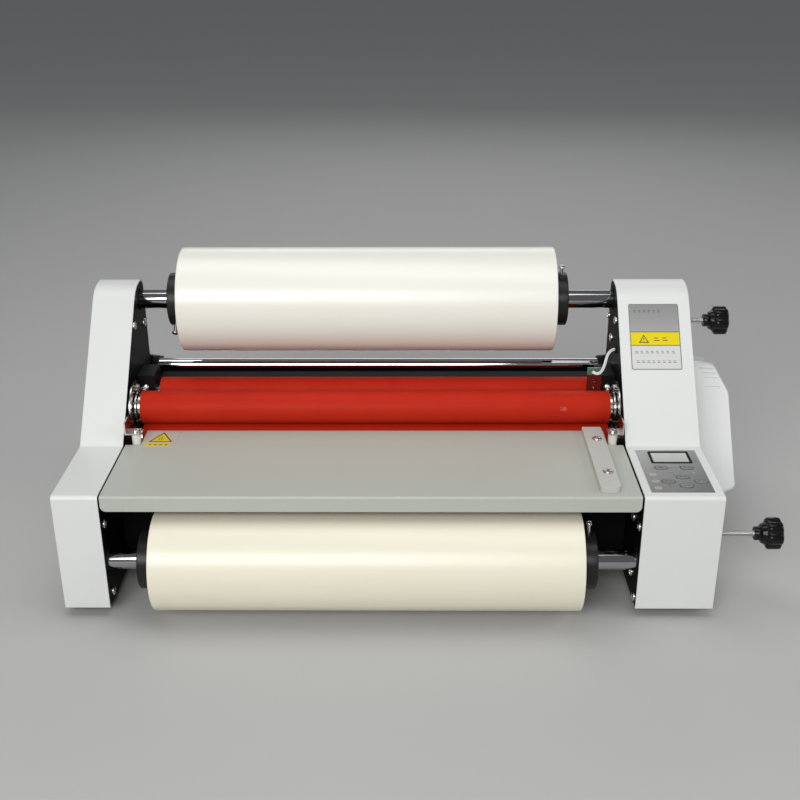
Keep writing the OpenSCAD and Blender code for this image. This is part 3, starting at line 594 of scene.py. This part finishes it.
def turned_rings(bm, profile, middle, segments=64, axis="X", closed=True):
    """Adds a body turned about an axis through middle. The profile lists (along, radius) in mm."""
    rings = []
    for along, radius in profile:
        ring = []
        for k in range(segments):
            a = 2 * math.pi * k / segments
            c, s = radius * math.cos(a), radius * math.sin(a)
            p = {"X": (along, c, s), "Y": (s, along, c), "Z": (c, s, along)}[axis]
            ring.append(bm.verts.new(middle + Vector(p) * MM))
        rings.append(ring)
    skin(bm, rings, closed)


def outward(bm):
    bmesh.ops.recalc_face_normals(bm, faces=bm.faces)
    return bm


def rounded_bar(x0, x1, r, bore=0.0, ease=0.6, steps=4):
    """Profile of a bar or tube along its axis with eased outer ends."""
    rise = [math.pi / 2 * i / steps for i in range(steps + 1)]
    outer = [(x0 + ease - ease * math.cos(a), r - ease + ease * math.sin(a)) for a in rise]
    outer += [(x1 - ease + ease * math.sin(a), r - ease + ease * math.cos(a)) for a in rise]
    return outer + ([(x1, bore), (x0, bore)] if bore else [])


def way_at(line, i):
    """The way that a line runs at its point i."""
    return (line[min(i + 1, len(line) - 1)] - line[max(i - 1, 0)]).normalized()


def sweep(bm, path, radius, sides=12):
    """Adds a round tube along a list of points, in metres."""
    rings = []
    for i, p in enumerate(path):
        t = way_at(path, i)
        a = t.cross(Vector((0.3, -0.9, 0.3))).normalized()
        b = t.cross(a)
        rings.append([bm.verts.new(p + radius * (math.cos(2 * math.pi * k / sides) * a
                                                 + math.sin(2 * math.pi * k / sides) * b))
                      for k in range(sides)])
    skin(bm, rings)


def smooth_path(points, steps=5):
    """A Catmull-Rom curve through points."""
    out = []
    for i in range(len(points) - 1):
        p0, p1 = points[max(i - 1, 0)], points[i]
        p2, p3 = points[i + 1], points[min(i + 2, len(points) - 1)]
        for k in range(steps):
            t = k / steps
            out.append(0.5 * (2 * p1 + (p2 - p0) * t + (2 * p0 - 5 * p1 + 4 * p2 - p3) * t * t
                              + (3 * p1 - p0 - 3 * p2 + p3) * t ** 3))
    return out + [points[-1]]


# Geometry Nodes --------------------------------------------------------------------------------
class Tree:
    """A Geometry Nodes tree with named inputs."""

    def __init__(self, name, **inputs):
        self.tree = bpy.data.node_groups.new(name, "GeometryNodeTree")
        self.tree.interface.new_socket("Geometry", in_out="INPUT", socket_type="NodeSocketGeometry")
        self.ids = {}
        for key, (kind, value) in inputs.items():
            s = self.tree.interface.new_socket(key, in_out="INPUT", socket_type="NodeSocket" + kind)
            if value is not None:
                s.default_value = value
            self.ids[key] = s.identifier
        self.tree.interface.new_socket("Geometry", in_out="OUTPUT", socket_type="NodeSocketGeometry")
        self.given = self.tree.nodes.new("NodeGroupInput")

    def input(self, key):
        return self.given.outputs[key]

    def add(self, kind, settings, values, out=0):
        return new_node(self.tree, kind, settings, values).outputs[out]

    def close(self, geometry):
        """Realize Instances and Set Material end every tree."""
        real = self.add("GeometryNodeRealizeInstances", {}, [geometry])
        done = self.add("GeometryNodeSetMaterial", {},
                        {"Geometry": real, "Material": self.input("Material")})
        out = self.tree.nodes.new("NodeGroupOutput")
        self.tree.links.new(done, out.inputs[0])

    def grow(self, name, mesh, finish, **values):
        """Runs the tree on a mesh and gives back the plain mesh that it makes."""
        obj = in_scene(name, mesh)
        mod = obj.modifiers.new("grow", "NODES")
        mod.node_group = self.tree
        mod[self.ids["Material"]] = finish.mat
        for key, value in values.items():
            mod[self.ids[key]] = value
        return evaluated(obj)


def standing_tree():
    """Stands a copy of Part on every point, along its way, turned about it at random."""
    t = Tree("standing_parts", Part=("Object", None), Material=("Material", None), Seed=("Int", 3),
             Turn=("Float", 3.14159))
    part = t.add("GeometryNodeObjectInfo", {"transform_space": "ORIGINAL"}, {0: t.input("Part")},
                 "Geometry")
    way = t.add("GeometryNodeInputNamedAttribute", {"data_type": "FLOAT_VECTOR"}, {"Name": "way"})
    size = t.add("GeometryNodeInputNamedAttribute", {"data_type": "FLOAT"}, {"Name": "size"})
    stand = t.add("FunctionNodeAlignRotationToVector", {"axis": "Z"}, {"Vector": way})
    rand = t.add("FunctionNodeRandomValue", {"data_type": "FLOAT"},
                 {"Min": 0.0, "Max": t.input("Turn"), "Seed": t.input("Seed")}, 1)
    spin = t.add("FunctionNodeAxisAngleToRotation", {}, {"Axis": (0, 0, 1), "Angle": rand})
    turn = t.add("FunctionNodeRotateRotation", {"rotation_space": "LOCAL"}, [stand, spin])
    placed = t.add("GeometryNodeInstanceOnPoints", {},
                   {"Points": t.input("Geometry"), "Instance": part, "Rotation": turn,
                    "Scale": size})
    t.close(placed)
    return t


def coil_tree():
    """A close coil of round wire along +Z."""
    t = Tree("coil_spring", Radius=("Float", 0.004), Wire=("Float", 0.0005), Turns=("Float", 5.0),
             Height=("Float", 0.008), Material=("Material", None))
    spiral = t.add("GeometryNodeCurveSpiral", {},
                   {"Resolution": 32, "Rotations": t.input("Turns"), "Start Radius": t.input("Radius"),
                    "End Radius": t.input("Radius"), "Height": t.input("Height")})
    ring = t.add("GeometryNodeCurvePrimitiveCircle", {"mode": "RADIUS"},
                 {"Resolution": 10, "Radius": t.input("Wire")})
    wire = t.add("GeometryNodeCurveToMesh", {},
                 {"Curve": spiral, "Profile Curve": ring, "Fill Caps": True})
    t.close(t.add("GeometryNodeSetShadeSmooth", {}, {0: wire}))
    return t


def row_tree():
    """Repeats Part a number of times along Step, shifting each one by its place in the row."""
    t = Tree("row_of_parts", Part=("Object", None), Count=("Int", 5), Step=("Vector", (0, 0, 0.005)),
             Start=("Vector", (0, 0, 0)), Material=("Material", None))
    line = t.add("GeometryNodeMeshLine", {"mode": "OFFSET"},
                 {"Count": t.input("Count"), "Start Location": t.input("Start"),
                  "Offset": t.input("Step")})
    part = t.add("GeometryNodeObjectInfo", {"transform_space": "ORIGINAL"}, {0: t.input("Part")},
                 "Geometry")
    t.close(t.add("GeometryNodeInstanceOnPoints", {}, {"Points": line, "Instance": part}))
    return t


standing = standing_tree()
coil = coil_tree()
row = row_tree()


def pattern_object(name, bm):
    """An object that only lends its mesh to a tree; it isn't in the scene."""
    return bpy.data.objects.new(name, mesh_from(outward(bm), name))


def screw_head(radius=4.8, tall=2.4, arm=2.7, half=0.62, deep=1.25):
    """Pan head along +Z with a tapered cross recess; its sizes are in millimetres."""
    corner = math.atan2(half, arm)
    quarter = sorted({0.0, corner * 0.5, corner, math.radians(30), math.radians(45),
                      math.radians(60), math.pi / 2 - corner, math.pi / 2 - corner * 0.5})
    angles = [q * math.pi / 2 + a for q in range(4) for a in quarter]

    def cross_r(a, length, width):
        c, s = abs(math.cos(a)) + 1e-9, abs(math.sin(a)) + 1e-9
        return max(min(length / c, width / s), min(width / c, length / s))

    bm = bmesh.new()

    def ring(r_of, z):
        return [bm.verts.new(Vector((r_of(a) * math.cos(a), r_of(a) * math.sin(a), z)) * MM)
                for a in angles]

    dome = [(radius, -0.3), (radius, tall * 0.45), (radius * 0.985, tall * 0.62),
            (radius * 0.93, tall * 0.8), (radius * 0.82, tall * 0.93), (radius * 0.68, tall)]
    rings = [ring(lambda a, r=r: r, z) for r, z in dome]
    rings.append(ring(lambda a: cross_r(a, arm, half), tall + 0.05))
    rings.append(ring(lambda a: cross_r(a, arm * 0.55, half * 0.7), tall - deep))
    skin(bm, rings)
    return bm


pan_head = pattern_object("pan_head", screw_head())


def pan_heads(name, screws, seed):
    """One mesh of heads. Each screw is its place, the way that it faces and its size."""
    mesh = bpy.data.meshes.new(name)
    mesh.from_pydata([tuple(place) for place, way, size in screws], [], [])
    ways = mesh.attributes.new("way", "FLOAT_VECTOR", "POINT")
    ways.data.foreach_set("vector", [c for place, way, size in screws for c in way])
    sizes = mesh.attributes.new("size", "FLOAT", "POINT")
    sizes.data.foreach_set("value", [size for place, way, size in screws])
    return standing.grow(name, mesh, nickel, Part=pan_head, Seed=seed)


# The sizes of the screws' heads, against the largest one
GUIDE_SCREW, PLATE_SCREW, POST_SCREW, COVER_SCREW, FLANGE_SCREW = 1.0, 0.97, 0.88, 0.83, 0.75


# Casing ----------------------------------------------------------------------------------------
def on_side(node, outer):
    """Picks the edges on a cover's closed side."""
    low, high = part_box(node)
    level = low.x if outer < 0 else high.x
    return lambda e: all(abs(v.co.x - level) < 1e-5 for v in e.verts)


def cover(node, side):
    bm = sewn(node)
    soften(bm, 1.5, 60, on_side(node, side), 4)
    even_shading(piece(node + "_finished", mesh_from(bm, node), white_coat, BODY_OF[node],
                       [node], 30))


cover("left_cover", -1)
cover("right_cover", 1)
for node in ("left_side_plate", "right_side_plate"):
    dressed(node, black_coat, 0.35)
dressed("base_frame", frame_coat, 0.3)
dressed("feed_tray", tray_coat, 0.35)
dressed("side_guide", guide_plastic, 0.7, rings=3)
dressed("bearing_blocks", plain_black, 0.6)
dressed("lamp_brackets", stainless, 0.25)
dressed("rubber_feet", foot_rubber, 1.0, rings=3)
dressed("plate_bushes", plain_black, 0.3)
dressed("sensor_board", green_board, 0.1)
dressed("control_overlay", overlay_print, 0.12)
dressed("caution_label", caution_print, 0.08)
dressed("heat_label", heat_print, 0.08)
for key in KEYS:
    dressed(key, key_print, 0.45, rings=3)
dressed("power_inlet", plain_black, 0.4)
dressed("power_switch", knob_black, 0.4)
dressed("front_upper_tube", ground_steel, 0.3)
dressed("front_lower_tube", ground_steel, 0.3)
dressed("guide_bar", chrome, 0.4)
dressed("display_window", display_grey, 0.15)


# Rollers, shafts and film ----------------------------------------------------------------------
def turned_piece(node, finish, profile, segments=96, smooth=35):
    """A piece turned about its CAD node's own middle line."""
    bm = bmesh.new()
    turned_rings(bm, profile, centre(node), segments)
    piece(node + "_finished", mesh_from(outward(bm), node), finish, BODY_OF[node], [node], smooth)


def half_length(node):
    low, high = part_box(node)
    return (high.x - low.x) / 2 / MM


def radius_of(node):
    low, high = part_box(node)
    return (high.z - low.z) / 2 / MM


SHAFT_WALL = 2
for node, core in (("front_upper_sleeve", 12.5), ("front_lower_sleeve", 12.5),
                   ("rear_upper_sleeve", 10.0), ("rear_lower_sleeve", 10.0)):
    h = half_length(node)
    turned_piece(node, red_silicone, rounded_bar(-h, h, radius_of(node), core, 0.7), 128)
for node in ("upper_supply_shaft", "lower_supply_shaft"):
    h, r = half_length(node), radius_of(node)
    turned_piece(node, shaft_chrome, rounded_bar(-h, h, r, r - SHAFT_WALL, 0.8))


def film_roll(node, finish, seed):
    """A wound roll whose turns stand slightly proud of one another at the ends."""
    rng = random.Random(seed)
    h, r = half_length(node), radius_of(node)
    bore, edge, turns = 31.62, 0.9, 26

    def end(sign):
        out = []
        for i in range(turns):
            inner = bore + (r - edge - bore) * i / turns
            outer = bore + (r - edge - bore) * (i + 1) / turns
            x = sign * (h - 0.05 - 0.3 * rng.random() * (0.3 + 0.7 * (i % 3 == 0)))
            out += [(x, inner + 0.05), (x, outer - 0.05)]
        return out

    rim = [math.pi / 2 * i / 4 for i in range(5)]
    right = [(h - edge + edge * math.sin(a), r - edge + edge * math.cos(a)) for a in rim]
    left = [(-x, rr) for x, rr in reversed(right)]
    barrel = [(-h * 0.98 + h * 1.96 * i / 12, r) for i in range(13)]
    profile = left + barrel + right + list(reversed(end(1))) + end(-1)
    turned_piece(node, finish, profile, 160, 25)


film_roll("upper_film_roll", upper_film, 11)
film_roll("lower_film_roll", lower_film, 12)


def flange_pair(node, film_node, angles):
    """Black core flanges with turned faces; each has a long radial screw with a pan head."""
    bm = bmesh.new()
    low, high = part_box(node)
    mid, film = centre(film_node), half_length(film_node) + 0.4
    wide = (high.x - low.x) / 2 / MM - film
    bore, hub = 10.6, 28.5
    inside, face = film - 30, film + wide
    profile = [(inside, hub), (film, hub), (film + 0.12, 29.2), (film + 1.0, 29.5),
               (face - 0.9, 29.5), (face, 28.6), (face, 21.0), (face - 0.8, 20.2),
               (face - 0.8, 15.6), (face, 14.8), (face, bore), (inside, bore)]
    for side in (-1, 1):
        turned_rings(bm, [(side * x, r) for x, r in profile], mid, 96)
    piece(node + "_finished", mesh_from(outward(bm), node), flange_black, BODY_OF[node], [node], 30)
    stems, screws = bmesh.new(), []
    for side, angle in zip((-1, 1), angles):
        a = math.radians(angle)
        way = Vector((0, -math.sin(a), math.cos(a)))
        foot = mid + Vector((side * (film + wide / 2), 0, 0)) * MM + way * hub * MM
        sweep(stems, [foot, foot + way * 4 * MM, foot + way * 13.1 * MM], 2.0 * MM, 20)
        screws.append((foot + way * 13.0 * MM, way, FLANGE_SCREW))
    level = node.split("_")[0]
    piece(level + "_flange_stems", mesh_from(outward(stems), node + "_stems"), nickel,
          BODY_OF[node])
    piece(level + "_flange_screws", pan_heads("heads", screws, 7), nickel, BODY_OF[node])


flange_pair("upper_core_flanges", "upper_film_roll", (134, 15))
flange_pair("lower_core_flanges", "lower_film_roll", (250, 0))


# Posts, springs, board and lead ----------------------------------------------------------------
POST_X, POST_Y, POST_R = 252, 120, 4.6
posts = bmesh.new()
low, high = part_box("lamp_posts")
for side in (-1, 1):
    turned_rings(posts, rounded_bar(0, (high.z - low.z) / MM, POST_R, 0, 0.5),
                 at(side * POST_X, POST_Y, low.z / MM), 48, "Z", closed=False)
piece("lamp_posts_finished", mesh_from(outward(posts), "lamp_posts"), steatite, "machine",
      ["lamp_posts"])

SPRING_R = 4.4
spring_low, spring_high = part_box("pressure_springs")
spring_mid = (spring_low + spring_high) / 2
hardware = bmesh.new()
for side in (-1, 1):
    x = spring_high.x - ZERO.x - SPRING_R * MM
    middle = Vector((ZERO.x + side * x, 0, spring_mid.z))
    y0, y1 = spring_low.y / MM, spring_high.y / MM
    turned_rings(hardware, rounded_bar(y0, y1, 2.0, 0, 0.4), middle, 24, "Y", closed=False)
    turned_rings(hardware, rounded_bar(y0 + 0.9, y0 + 2.6, 4.3, 0, 0.3), middle, 6, "Y", closed=False)
    wound = coil.grow("coil", bpy.data.meshes.new("coil"), nickel, Radius=0.0038, Wire=0.00045,
                      Turns=4.5, Height=(y1 - y0 - 3.4) * MM)
    wound.transform(Matrix.Translation((middle.x, (y0 + 2.9) * MM, middle.z))
                    @ Matrix.Rotation(math.radians(-90), 4, "X"))
    hardware.from_mesh(wound)
piece("pressure_springs_finished", mesh_from(outward(hardware), "springs"), nickel, "machine",
      ["pressure_springs"])

LEAD = [at(*p) for p in ((238.8, 194, 188.8), (241.6, 192.4, 187.7), (245.2, 191, 188),
                         (248.7, 191, 191.6), (251.2, 192.5, 197.5), (253, 195, 203.4),
                         (255.3, 198, 208), (258.7, 201.4, 210.6), (262.6, 204, 211.2),
                         (265.6, 205, 211), (269.5, 205, 211))]
STRAND_R, STRAND_SHIFT = 0.82, 0.78
lead = bmesh.new()
line = smooth_path(LEAD)
for side in (-1, 1):
    path = []
    for i, p in enumerate(line):
        aside = way_at(line, i).cross(Vector((0.2, -0.9, 0.4))).normalized()
        path.append(p + aside * side * STRAND_SHIFT * MM)
    sweep(lead, path, STRAND_R * MM)
piece("sensor_lead_finished", mesh_from(outward(lead), "sensor_lead"), lead_silicone, "machine",
      ["sensor_lead"])

plated = bmesh.new()
board_front = (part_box("sensor_board")[0].y - ZERO.y) / MM
for z in (168.7, 177):
    turned_rings(plated, [(-0.2, 2.1), (-0.2, 1.25), (1.75, 1.25), (1.75, 2.1)],
                 at(241, board_front, z), 24, "Y")
piece("sensor_board_rings", mesh_from(outward(plated), "rings"), nickel, "machine")
grommet = bmesh.new()
turned_rings(grommet, [(-1.2, 2.0), (-1.2, 4.0), (-0.2, 4.4), (0.6, 4.4), (0.6, 2.0)],
             at(264.4, 205, 211), 32)
piece("lead_grommet", mesh_from(outward(grommet), "grommet"), plain_black, "machine")

# Screws ----------------------------------------------------------------------------------------
# Places (y, z) of the screws on the two plates and on the covers' outer walls
LEFT_PLATE = [(207, 238), (252, 226), (13, 101), (16, 21), (190, 30), (320, 100)]
RIGHT_PLATE = [(262, 231), (218, 240), (237, 213), (41, 94), (12, 99), (30, 36), (10, 19), (190, 30),
               (320, 100)]
COVER_WALL = [(36, 110), (36, 30), (305, 30), (305, 140)]
TAB = 12  # the side plates' tabs reach this far into the throat
plate_x = (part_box("right_side_plate")[0].x - ZERO.x) / MM + TAB
left_wall = (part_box("left_cover")[0].x - ZERO.x) / MM
right_wall = (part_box("right_cover")[1].x - ZERO.x) / MM
screws = [(at(-plate_x, y, z), (1, 0, 0), PLATE_SCREW) for y, z in LEFT_PLATE]
screws += [(at(plate_x, y, z), (-1, 0, 0), PLATE_SCREW) for y, z in RIGHT_PLATE]
for y, z in COVER_WALL:
    screws += [(at(left_wall, y, z), (-1, 0, 0), COVER_SCREW),
               (at(right_wall, y, z), (1, 0, 0), COVER_SCREW)]
screws += [(at(side * POST_X, POST_Y, 151.6), (0, 0, 1), POST_SCREW) for side in (-1, 1)]
piece("machine_screws_finished", pan_heads("screws", screws, 5), nickel, "machine",
      ["machine_screws"], 30)
HEAD_H = 2.4
top = (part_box("guide_screws")[1].z - ZERO.z) / MM - HEAD_H
screws = [(at(235.2, y, top), (0, 0, 1), GUIDE_SCREW) for y in (42, 117)]
piece("guide_screws_finished", pan_heads("guide_screws", screws, 9), nickel, "feed_table",
      ["guide_screws"], 30)


# Knobs -----------------------------------------------------------------------------------------
ROD_INSIDE = 12  # how far the rod runs on behind the cover's wall


def knob(node, yz, rod_out):
    """A six-lobed hand knob with a stepped collar on a threaded rod."""
    x0 = right_wall + rod_out
    mid = at(0, *yz)
    bm = bmesh.new()
    lobes, segments = 6, 120
    profile = [(0.0, 6.6, 0), (0.5, 7.0, 0), (5.4, 7.0, 0), (5.9, 7.9, 0), (6.4, 9.6, 0),
               (9.4, 11.2, 0.15), (10.4, 11.6, 0.3), (11.0, 13.6, 0.8), (12.0, 15.4, 1),
               (13.6, 16.0, 1), (23.7, 16.0, 1), (25.3, 15.4, 1), (26.2, 13.6, 0.9),
               (26.5, 11.5, 0.4), (26.0, 9.2, 0), (25.7, 3.0, 0)]
    rings = []
    for along, radius, lobed in profile:
        ring = []
        for k in range(segments):
            a = 2 * math.pi * k / segments
            wave = 0.5 + 0.5 * math.cos(a * lobes)
            r = radius * (1 - 0.17 * lobed * (1 - wave ** 0.45))
            ring.append(bm.verts.new(mid + Vector((x0 + along, r * math.cos(a), r * math.sin(a))) * MM))
        rings.append(ring)
    skin(bm, rings)
    piece(node + "_finished", mesh_from(outward(bm), node), knob_black, BODY_OF[node], [node], 40)
    rod = bmesh.new()
    start, pitch, per_turn, sides = right_wall - ROD_INSIDE, 1.0, 6, 24
    steps = int((x0 + 1 - start) / pitch * per_turn)
    rings = []
    for i in range(steps + 1):
        along = start + i * pitch / per_turn
        ring = []
        for k in range(sides):
            phase = (along / pitch + k / sides) % 1.0
            r = 3.0 - 0.55 * abs(2 * phase - 1)
            a = 2 * math.pi * k / sides
            ring.append(rod.verts.new(mid + Vector((along, r * math.cos(a), r * math.sin(a))) * MM))
        rings.append(ring)
    skin(rod, rings)
    piece(node.replace("knob", "rod"), mesh_from(outward(rod), node + "_rod"), nickel,
          BODY_OF[node], (), 60)


knob("upper_tension_knob", (243, 231), 23.5)
knob("lower_tension_knob", (28, 82), 40.5)


# Display frame, indicator, inlet pins ------------------------------------------------------------
def ring_plate(outer, inner, z0, z1, r_out, r_in, steps=5):
    """A flat rounded frame between two rounded rectangles, in millimetres."""
    def loop(box, r, z):
        u0, v0, u1, v1 = box
        corners = ((u1 - r, v1 - r, 0), (u0 + r, v1 - r, 90),
                   (u0 + r, v0 + r, 180), (u1 - r, v0 + r, 270))
        return [at(cu + r * math.cos(math.radians(s + 90 * i / steps)),
                   cv + r * math.sin(math.radians(s + 90 * i / steps)), z)
                for cu, cv, s in corners for i in range(steps + 1)]

    grow = [(outer, r_out, z0), (outer, r_out, z1 - 0.2),
            (tuple(a + b for a, b in zip(outer, (0.2, 0.2, -0.2, -0.2))), r_out - 0.2, z1),
            (tuple(a + b for a, b in zip(inner, (-0.2, -0.2, 0.2, 0.2))), r_in + 0.2, z1),
            (inner, r_in, z1 - 0.2), (inner, r_in, z0)]
    bm = bmesh.new()
    skin(bm, [[bm.verts.new(p) for p in loop(*g)] for g in grow], closed=True)
    return outward(bm)


panel_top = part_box("control_overlay")[1].z / MM
bezel = ring_plate((284.6, 71.2, 326.4, 97.8), (287.2, 73.7, 323.8, 95.3), panel_top - 0.4,
                   panel_top + 0.5, 1.6, 0.6)
piece("display_frame", mesh_from(bezel, "display_frame"), plain_black, "machine")
lamp = bmesh.new()
turned_rings(lamp, [(-0.3, 2.0), (0.2, 2.0), (0.35, 1.8), (0.35, 1.5), (0.15, 1.4), (0.3, 0.9),
                    (0.4, 0.05)], at(329.4, 77.0, panel_top), 32, "Z", closed=False)
piece("ready_indicator", mesh_from(outward(lamp), "ready_indicator"), lens_grey, "machine")
pins = bmesh.new()
PIN_W, PIN_L, PIN_H = 2.0, 16, 4.2
back = (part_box("power_inlet")[1].y - ZERO.y) / MM
for x, z, deep in ((285.8, 51.0, 11.5), (290.0, 55.4, 10.5), (294.2, 51.0, 11.5)):
    bmesh.ops.create_cube(pins, size=1.0, matrix=Matrix.Translation(at(x, back - deep, z))
                          @ Matrix.Diagonal((PIN_W * MM, PIN_L * MM, PIN_H * MM, 1)))
soften(pins, 0.4, 60)
piece("inlet_pins", mesh_from(outward(pins), "inlet_pins"), nickel, "machine")

# Motor cover -------------------------------------------------------------------------------------
# The cover's outline (y, z) at its foot and at its face, and the radii of its corners
FOOT_LINE = [(139.5, 56), (330, 56), (330, 150), (286, 172), (236, 184)]
FACE_LINE = [(139.5, 60), (324, 60), (324, 112), (276, 138), (219, 162)]
CORNERS = [6, 13, 20, 16, 14]


def corners_of(points):
    """Each corner with the ways that lead into it and out of it."""
    for i, q in enumerate(points):
        p, q, s = Vector(points[i - 1]), Vector(q), Vector(points[(i + 1) % len(points)])
        yield q, (q - p).normalized(), (s - q).normalized()


def inset(points, d):
    """The outline with every side moved inwards by d."""
    out = []
    for q, u, v in corners_of(points):
        a, b = q + d * Vector((-u.y, u.x)), q + d * Vector((-v.y, v.x))
        k = (b - a).cross(v) / u.cross(v)
        out.append(a + u * k)
    return out


def round_line(points, radii, steps=8):
    """The outline with an arc of steps + 1 points at each corner."""
    out = []
    for (q, u, v), r in zip(corners_of(points), radii):
        t = math.atan2(u.x * v.y - u.y * v.x, u.dot(v))
        c = q - u * r * math.tan(abs(t) / 2) + math.copysign(r, t) * Vector((-u.y, u.x))
        a0 = math.atan2(-u.x, u.y) if t > 0 else math.atan2(u.x, -u.y)
        out += [c + r * Vector((math.cos(a0 + t * k / steps), math.sin(a0 + t * k / steps)))
                for k in range(steps + 1)]
    return out


def cover_line(lean, pull, least):
    """The cover's outline between its foot (0) and its face (1), drawn in by pull."""
    line = [Vector(a) * (1 - lean) + Vector(b) * lean for a, b in zip(FOOT_LINE, FACE_LINE)]
    return round_line(inset(line, pull), [max(r - pull, least) for r in CORNERS])


def motor_cover():
    """A lofted shell: upright skirt, shoulder that leans in, eased rim and a flat face."""
    low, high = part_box("motor_cover")
    base, deep = (low.x - ZERO.x) / MM, (high.x - low.x) / MM
    outer = ((0.05, 0, 0.02), (8, 0, 0.02), (16, 0, 0.02), (22, 0, 0.2), (31, 0, 1.6),
             (39.0, 0, 2.95), (40.6, 0.03, 3.15), (42.5, 0.14, 3.25), (46, 0.4, 3.5),
             (50, 0.68, 3.8), (53, 0.9, 4.05), (54.2, 0.98, 4.5), (54.9, 1, 5.3),
             (deep - 0.05, 1, 6.8))
    hollow = ((deep - 3, 9), (44, 6.4), (36, 5.4), (22, 2.6), (0.05, 2.4))
    sections = [(x, cover_line(min(max((x - 40) / 13, 0), 1), pull, 3)) for x, pull in hollow]
    sections += [(x, cover_line(lean, pull, 4)) for x, lean, pull in outer]
    bm = bmesh.new()
    skin(bm, [[bm.verts.new(at(base + x, p.x, p.y)) for p in line] for x, line in sections])
    return mesh_from(outward(bm), "motor_cover")


# The way that the cover's front wall rises, as (y, z)
FRONT_LEAN = tuple((Vector(FOOT_LINE[4]) - Vector(FOOT_LINE[0])).normalized())


def louvre_cutter():
    """One blind slot with round ends, to be cut into the cover's leaning front wall."""
    bm = bmesh.new()
    half, thick, slant = 8.4, 0.95, 0.155
    line = round_line([(-half, -thick), (half, -thick), (half, thick), (-half, thick)], [0.9] * 4, 4)
    down = Vector((0, -FRONT_LEAN[0], -FRONT_LEAN[1]))
    inward = Vector((0, FRONT_LEAN[1], -FRONT_LEAN[0]))
    skin(bm, [[bm.verts.new((Vector((p.x, 0, 0)) + down * p.y + inward * (d + slant * p.x)) * MM)
               for p in line] for d in (-3.0, 3.3)])
    return pattern_object("louvre_cutter", bm)


shell = in_scene("motor_cover_finished", motor_cover())
slots = bmesh.new()
blade = louvre_cutter()
SLOT_STEP = 0.0055
for x, down, count in ((370.5, 2.4, 4), (379.5, 29.3, 1)):
    start = at(x, FOOT_LINE[4][0] - down * FRONT_LEAN[0], FOOT_LINE[4][1] - down * FRONT_LEAN[1])
    slots.from_mesh(row.grow("slots", bpy.data.meshes.new("slots"), cover_plastic, Part=blade,
                             Count=count, Start=tuple(start),
                             Step=(0.003, -SLOT_STEP * FRONT_LEAN[0], -SLOT_STEP * FRONT_LEAN[1])))
cutter = in_scene("slot_cutter", mesh_from(slots, "slot_cutter"))
cut = shell.modifiers.new("slots", "BOOLEAN")
cut.object, cut.solver, cut.operation = cutter, "EXACT", "DIFFERENCE"
vented = evaluated(shell)
bpy.data.objects.remove(cutter)
piece("motor_cover_finished", vented, cover_plastic, "machine", ["motor_cover"], 32)

# CAD nodes that stay in view or inside ----------------------------------------------------------
INSIDE = {"control_board": green_board, "roller_bearings": ground_steel, "heater_lamps": quartz,
          "tension_brakes": dark_steel, "gear_motor": alloy, "rear_upper_shaft": ground_steel,
          "rear_lower_shaft": ground_steel, "front_upper_gear": gear_steel,
          "front_lower_gear": gear_steel, "rear_upper_gear": gear_steel,
          "rear_lower_gear": gear_steel, "motor_pinion": gear_steel, "idler_gear": gear_nylon,
          "upper_film_core": card, "lower_film_core": card}
for name, node in frame["nodes"].items():
    if not node.hide_render:
        node.data.materials.clear()
        node.data.materials.append(INSIDE[name].mat)

# Floor, light and camera -------------------------------------------------------------------------
floor_mesh = bmesh.new()
bmesh.ops.create_grid(floor_mesh, x_segments=1, y_segments=1, size=14)
floor = in_scene("floor", mesh_from(floor_mesh, "floor"))
pale = Finish("pale_floor", (0.5, 0.5, 0.49), 0.7)
pale.put("Base Color", pale.mix(pale.noise(3.0), (0.5, 0.5, 0.49), (0.48, 0.48, 0.47)))
finish_mesh(floor.data, pale)

world = bpy.data.worlds.new("studio")
bpy.context.scene.world = world
world.use_nodes = True
sky = world.node_tree.nodes["Background"]
sky.inputs["Color"].default_value = (0.75, 0.77, 0.8, 1)
sky.inputs["Strength"].default_value = 0.24


def soft_light(name, place, target, size, power):
    data = bpy.data.lights.new(name, "AREA")
    data.shape, data.size, data.size_y = "RECTANGLE", size[0], size[1]
    data.energy = power
    lamp_obj = in_scene(name, data)
    lamp_obj.location = place
    lamp_obj.rotation_euler = (Vector(target) - Vector(place)).to_track_quat("-Z", "Y").to_euler()


soft_light("overhead", (-0.1, -0.1, 2.0), (0, 0, 0.1), (2.0, 0.9), 13)
soft_light("front", (-0.5, -2.1, 1.25), (0, 0, 0.15), (1.6, 1.0), 36)
soft_light("side", (2.0, -0.6, 1.3), (0, 0, 0.15), (1.0, 1.0), 9)
soft_light("back", (0.2, 2.2, 1.3), (0, 0, 0.2), (2.0, 0.6), 7)

bpy.context.scene.view_settings.view_transform = "Standard"
lens = bpy.data.cameras.new("camera")
lens.lens, lens.sensor_width = 51.61, 36.0
camera = in_scene("camera", lens)
camera.location = (-0.00805, -1.12618, 0.67158)
camera.rotation_euler = tuple(math.radians(v) for v in (66.129, 0.243, 0.546))
bpy.context.scene.camera = camera
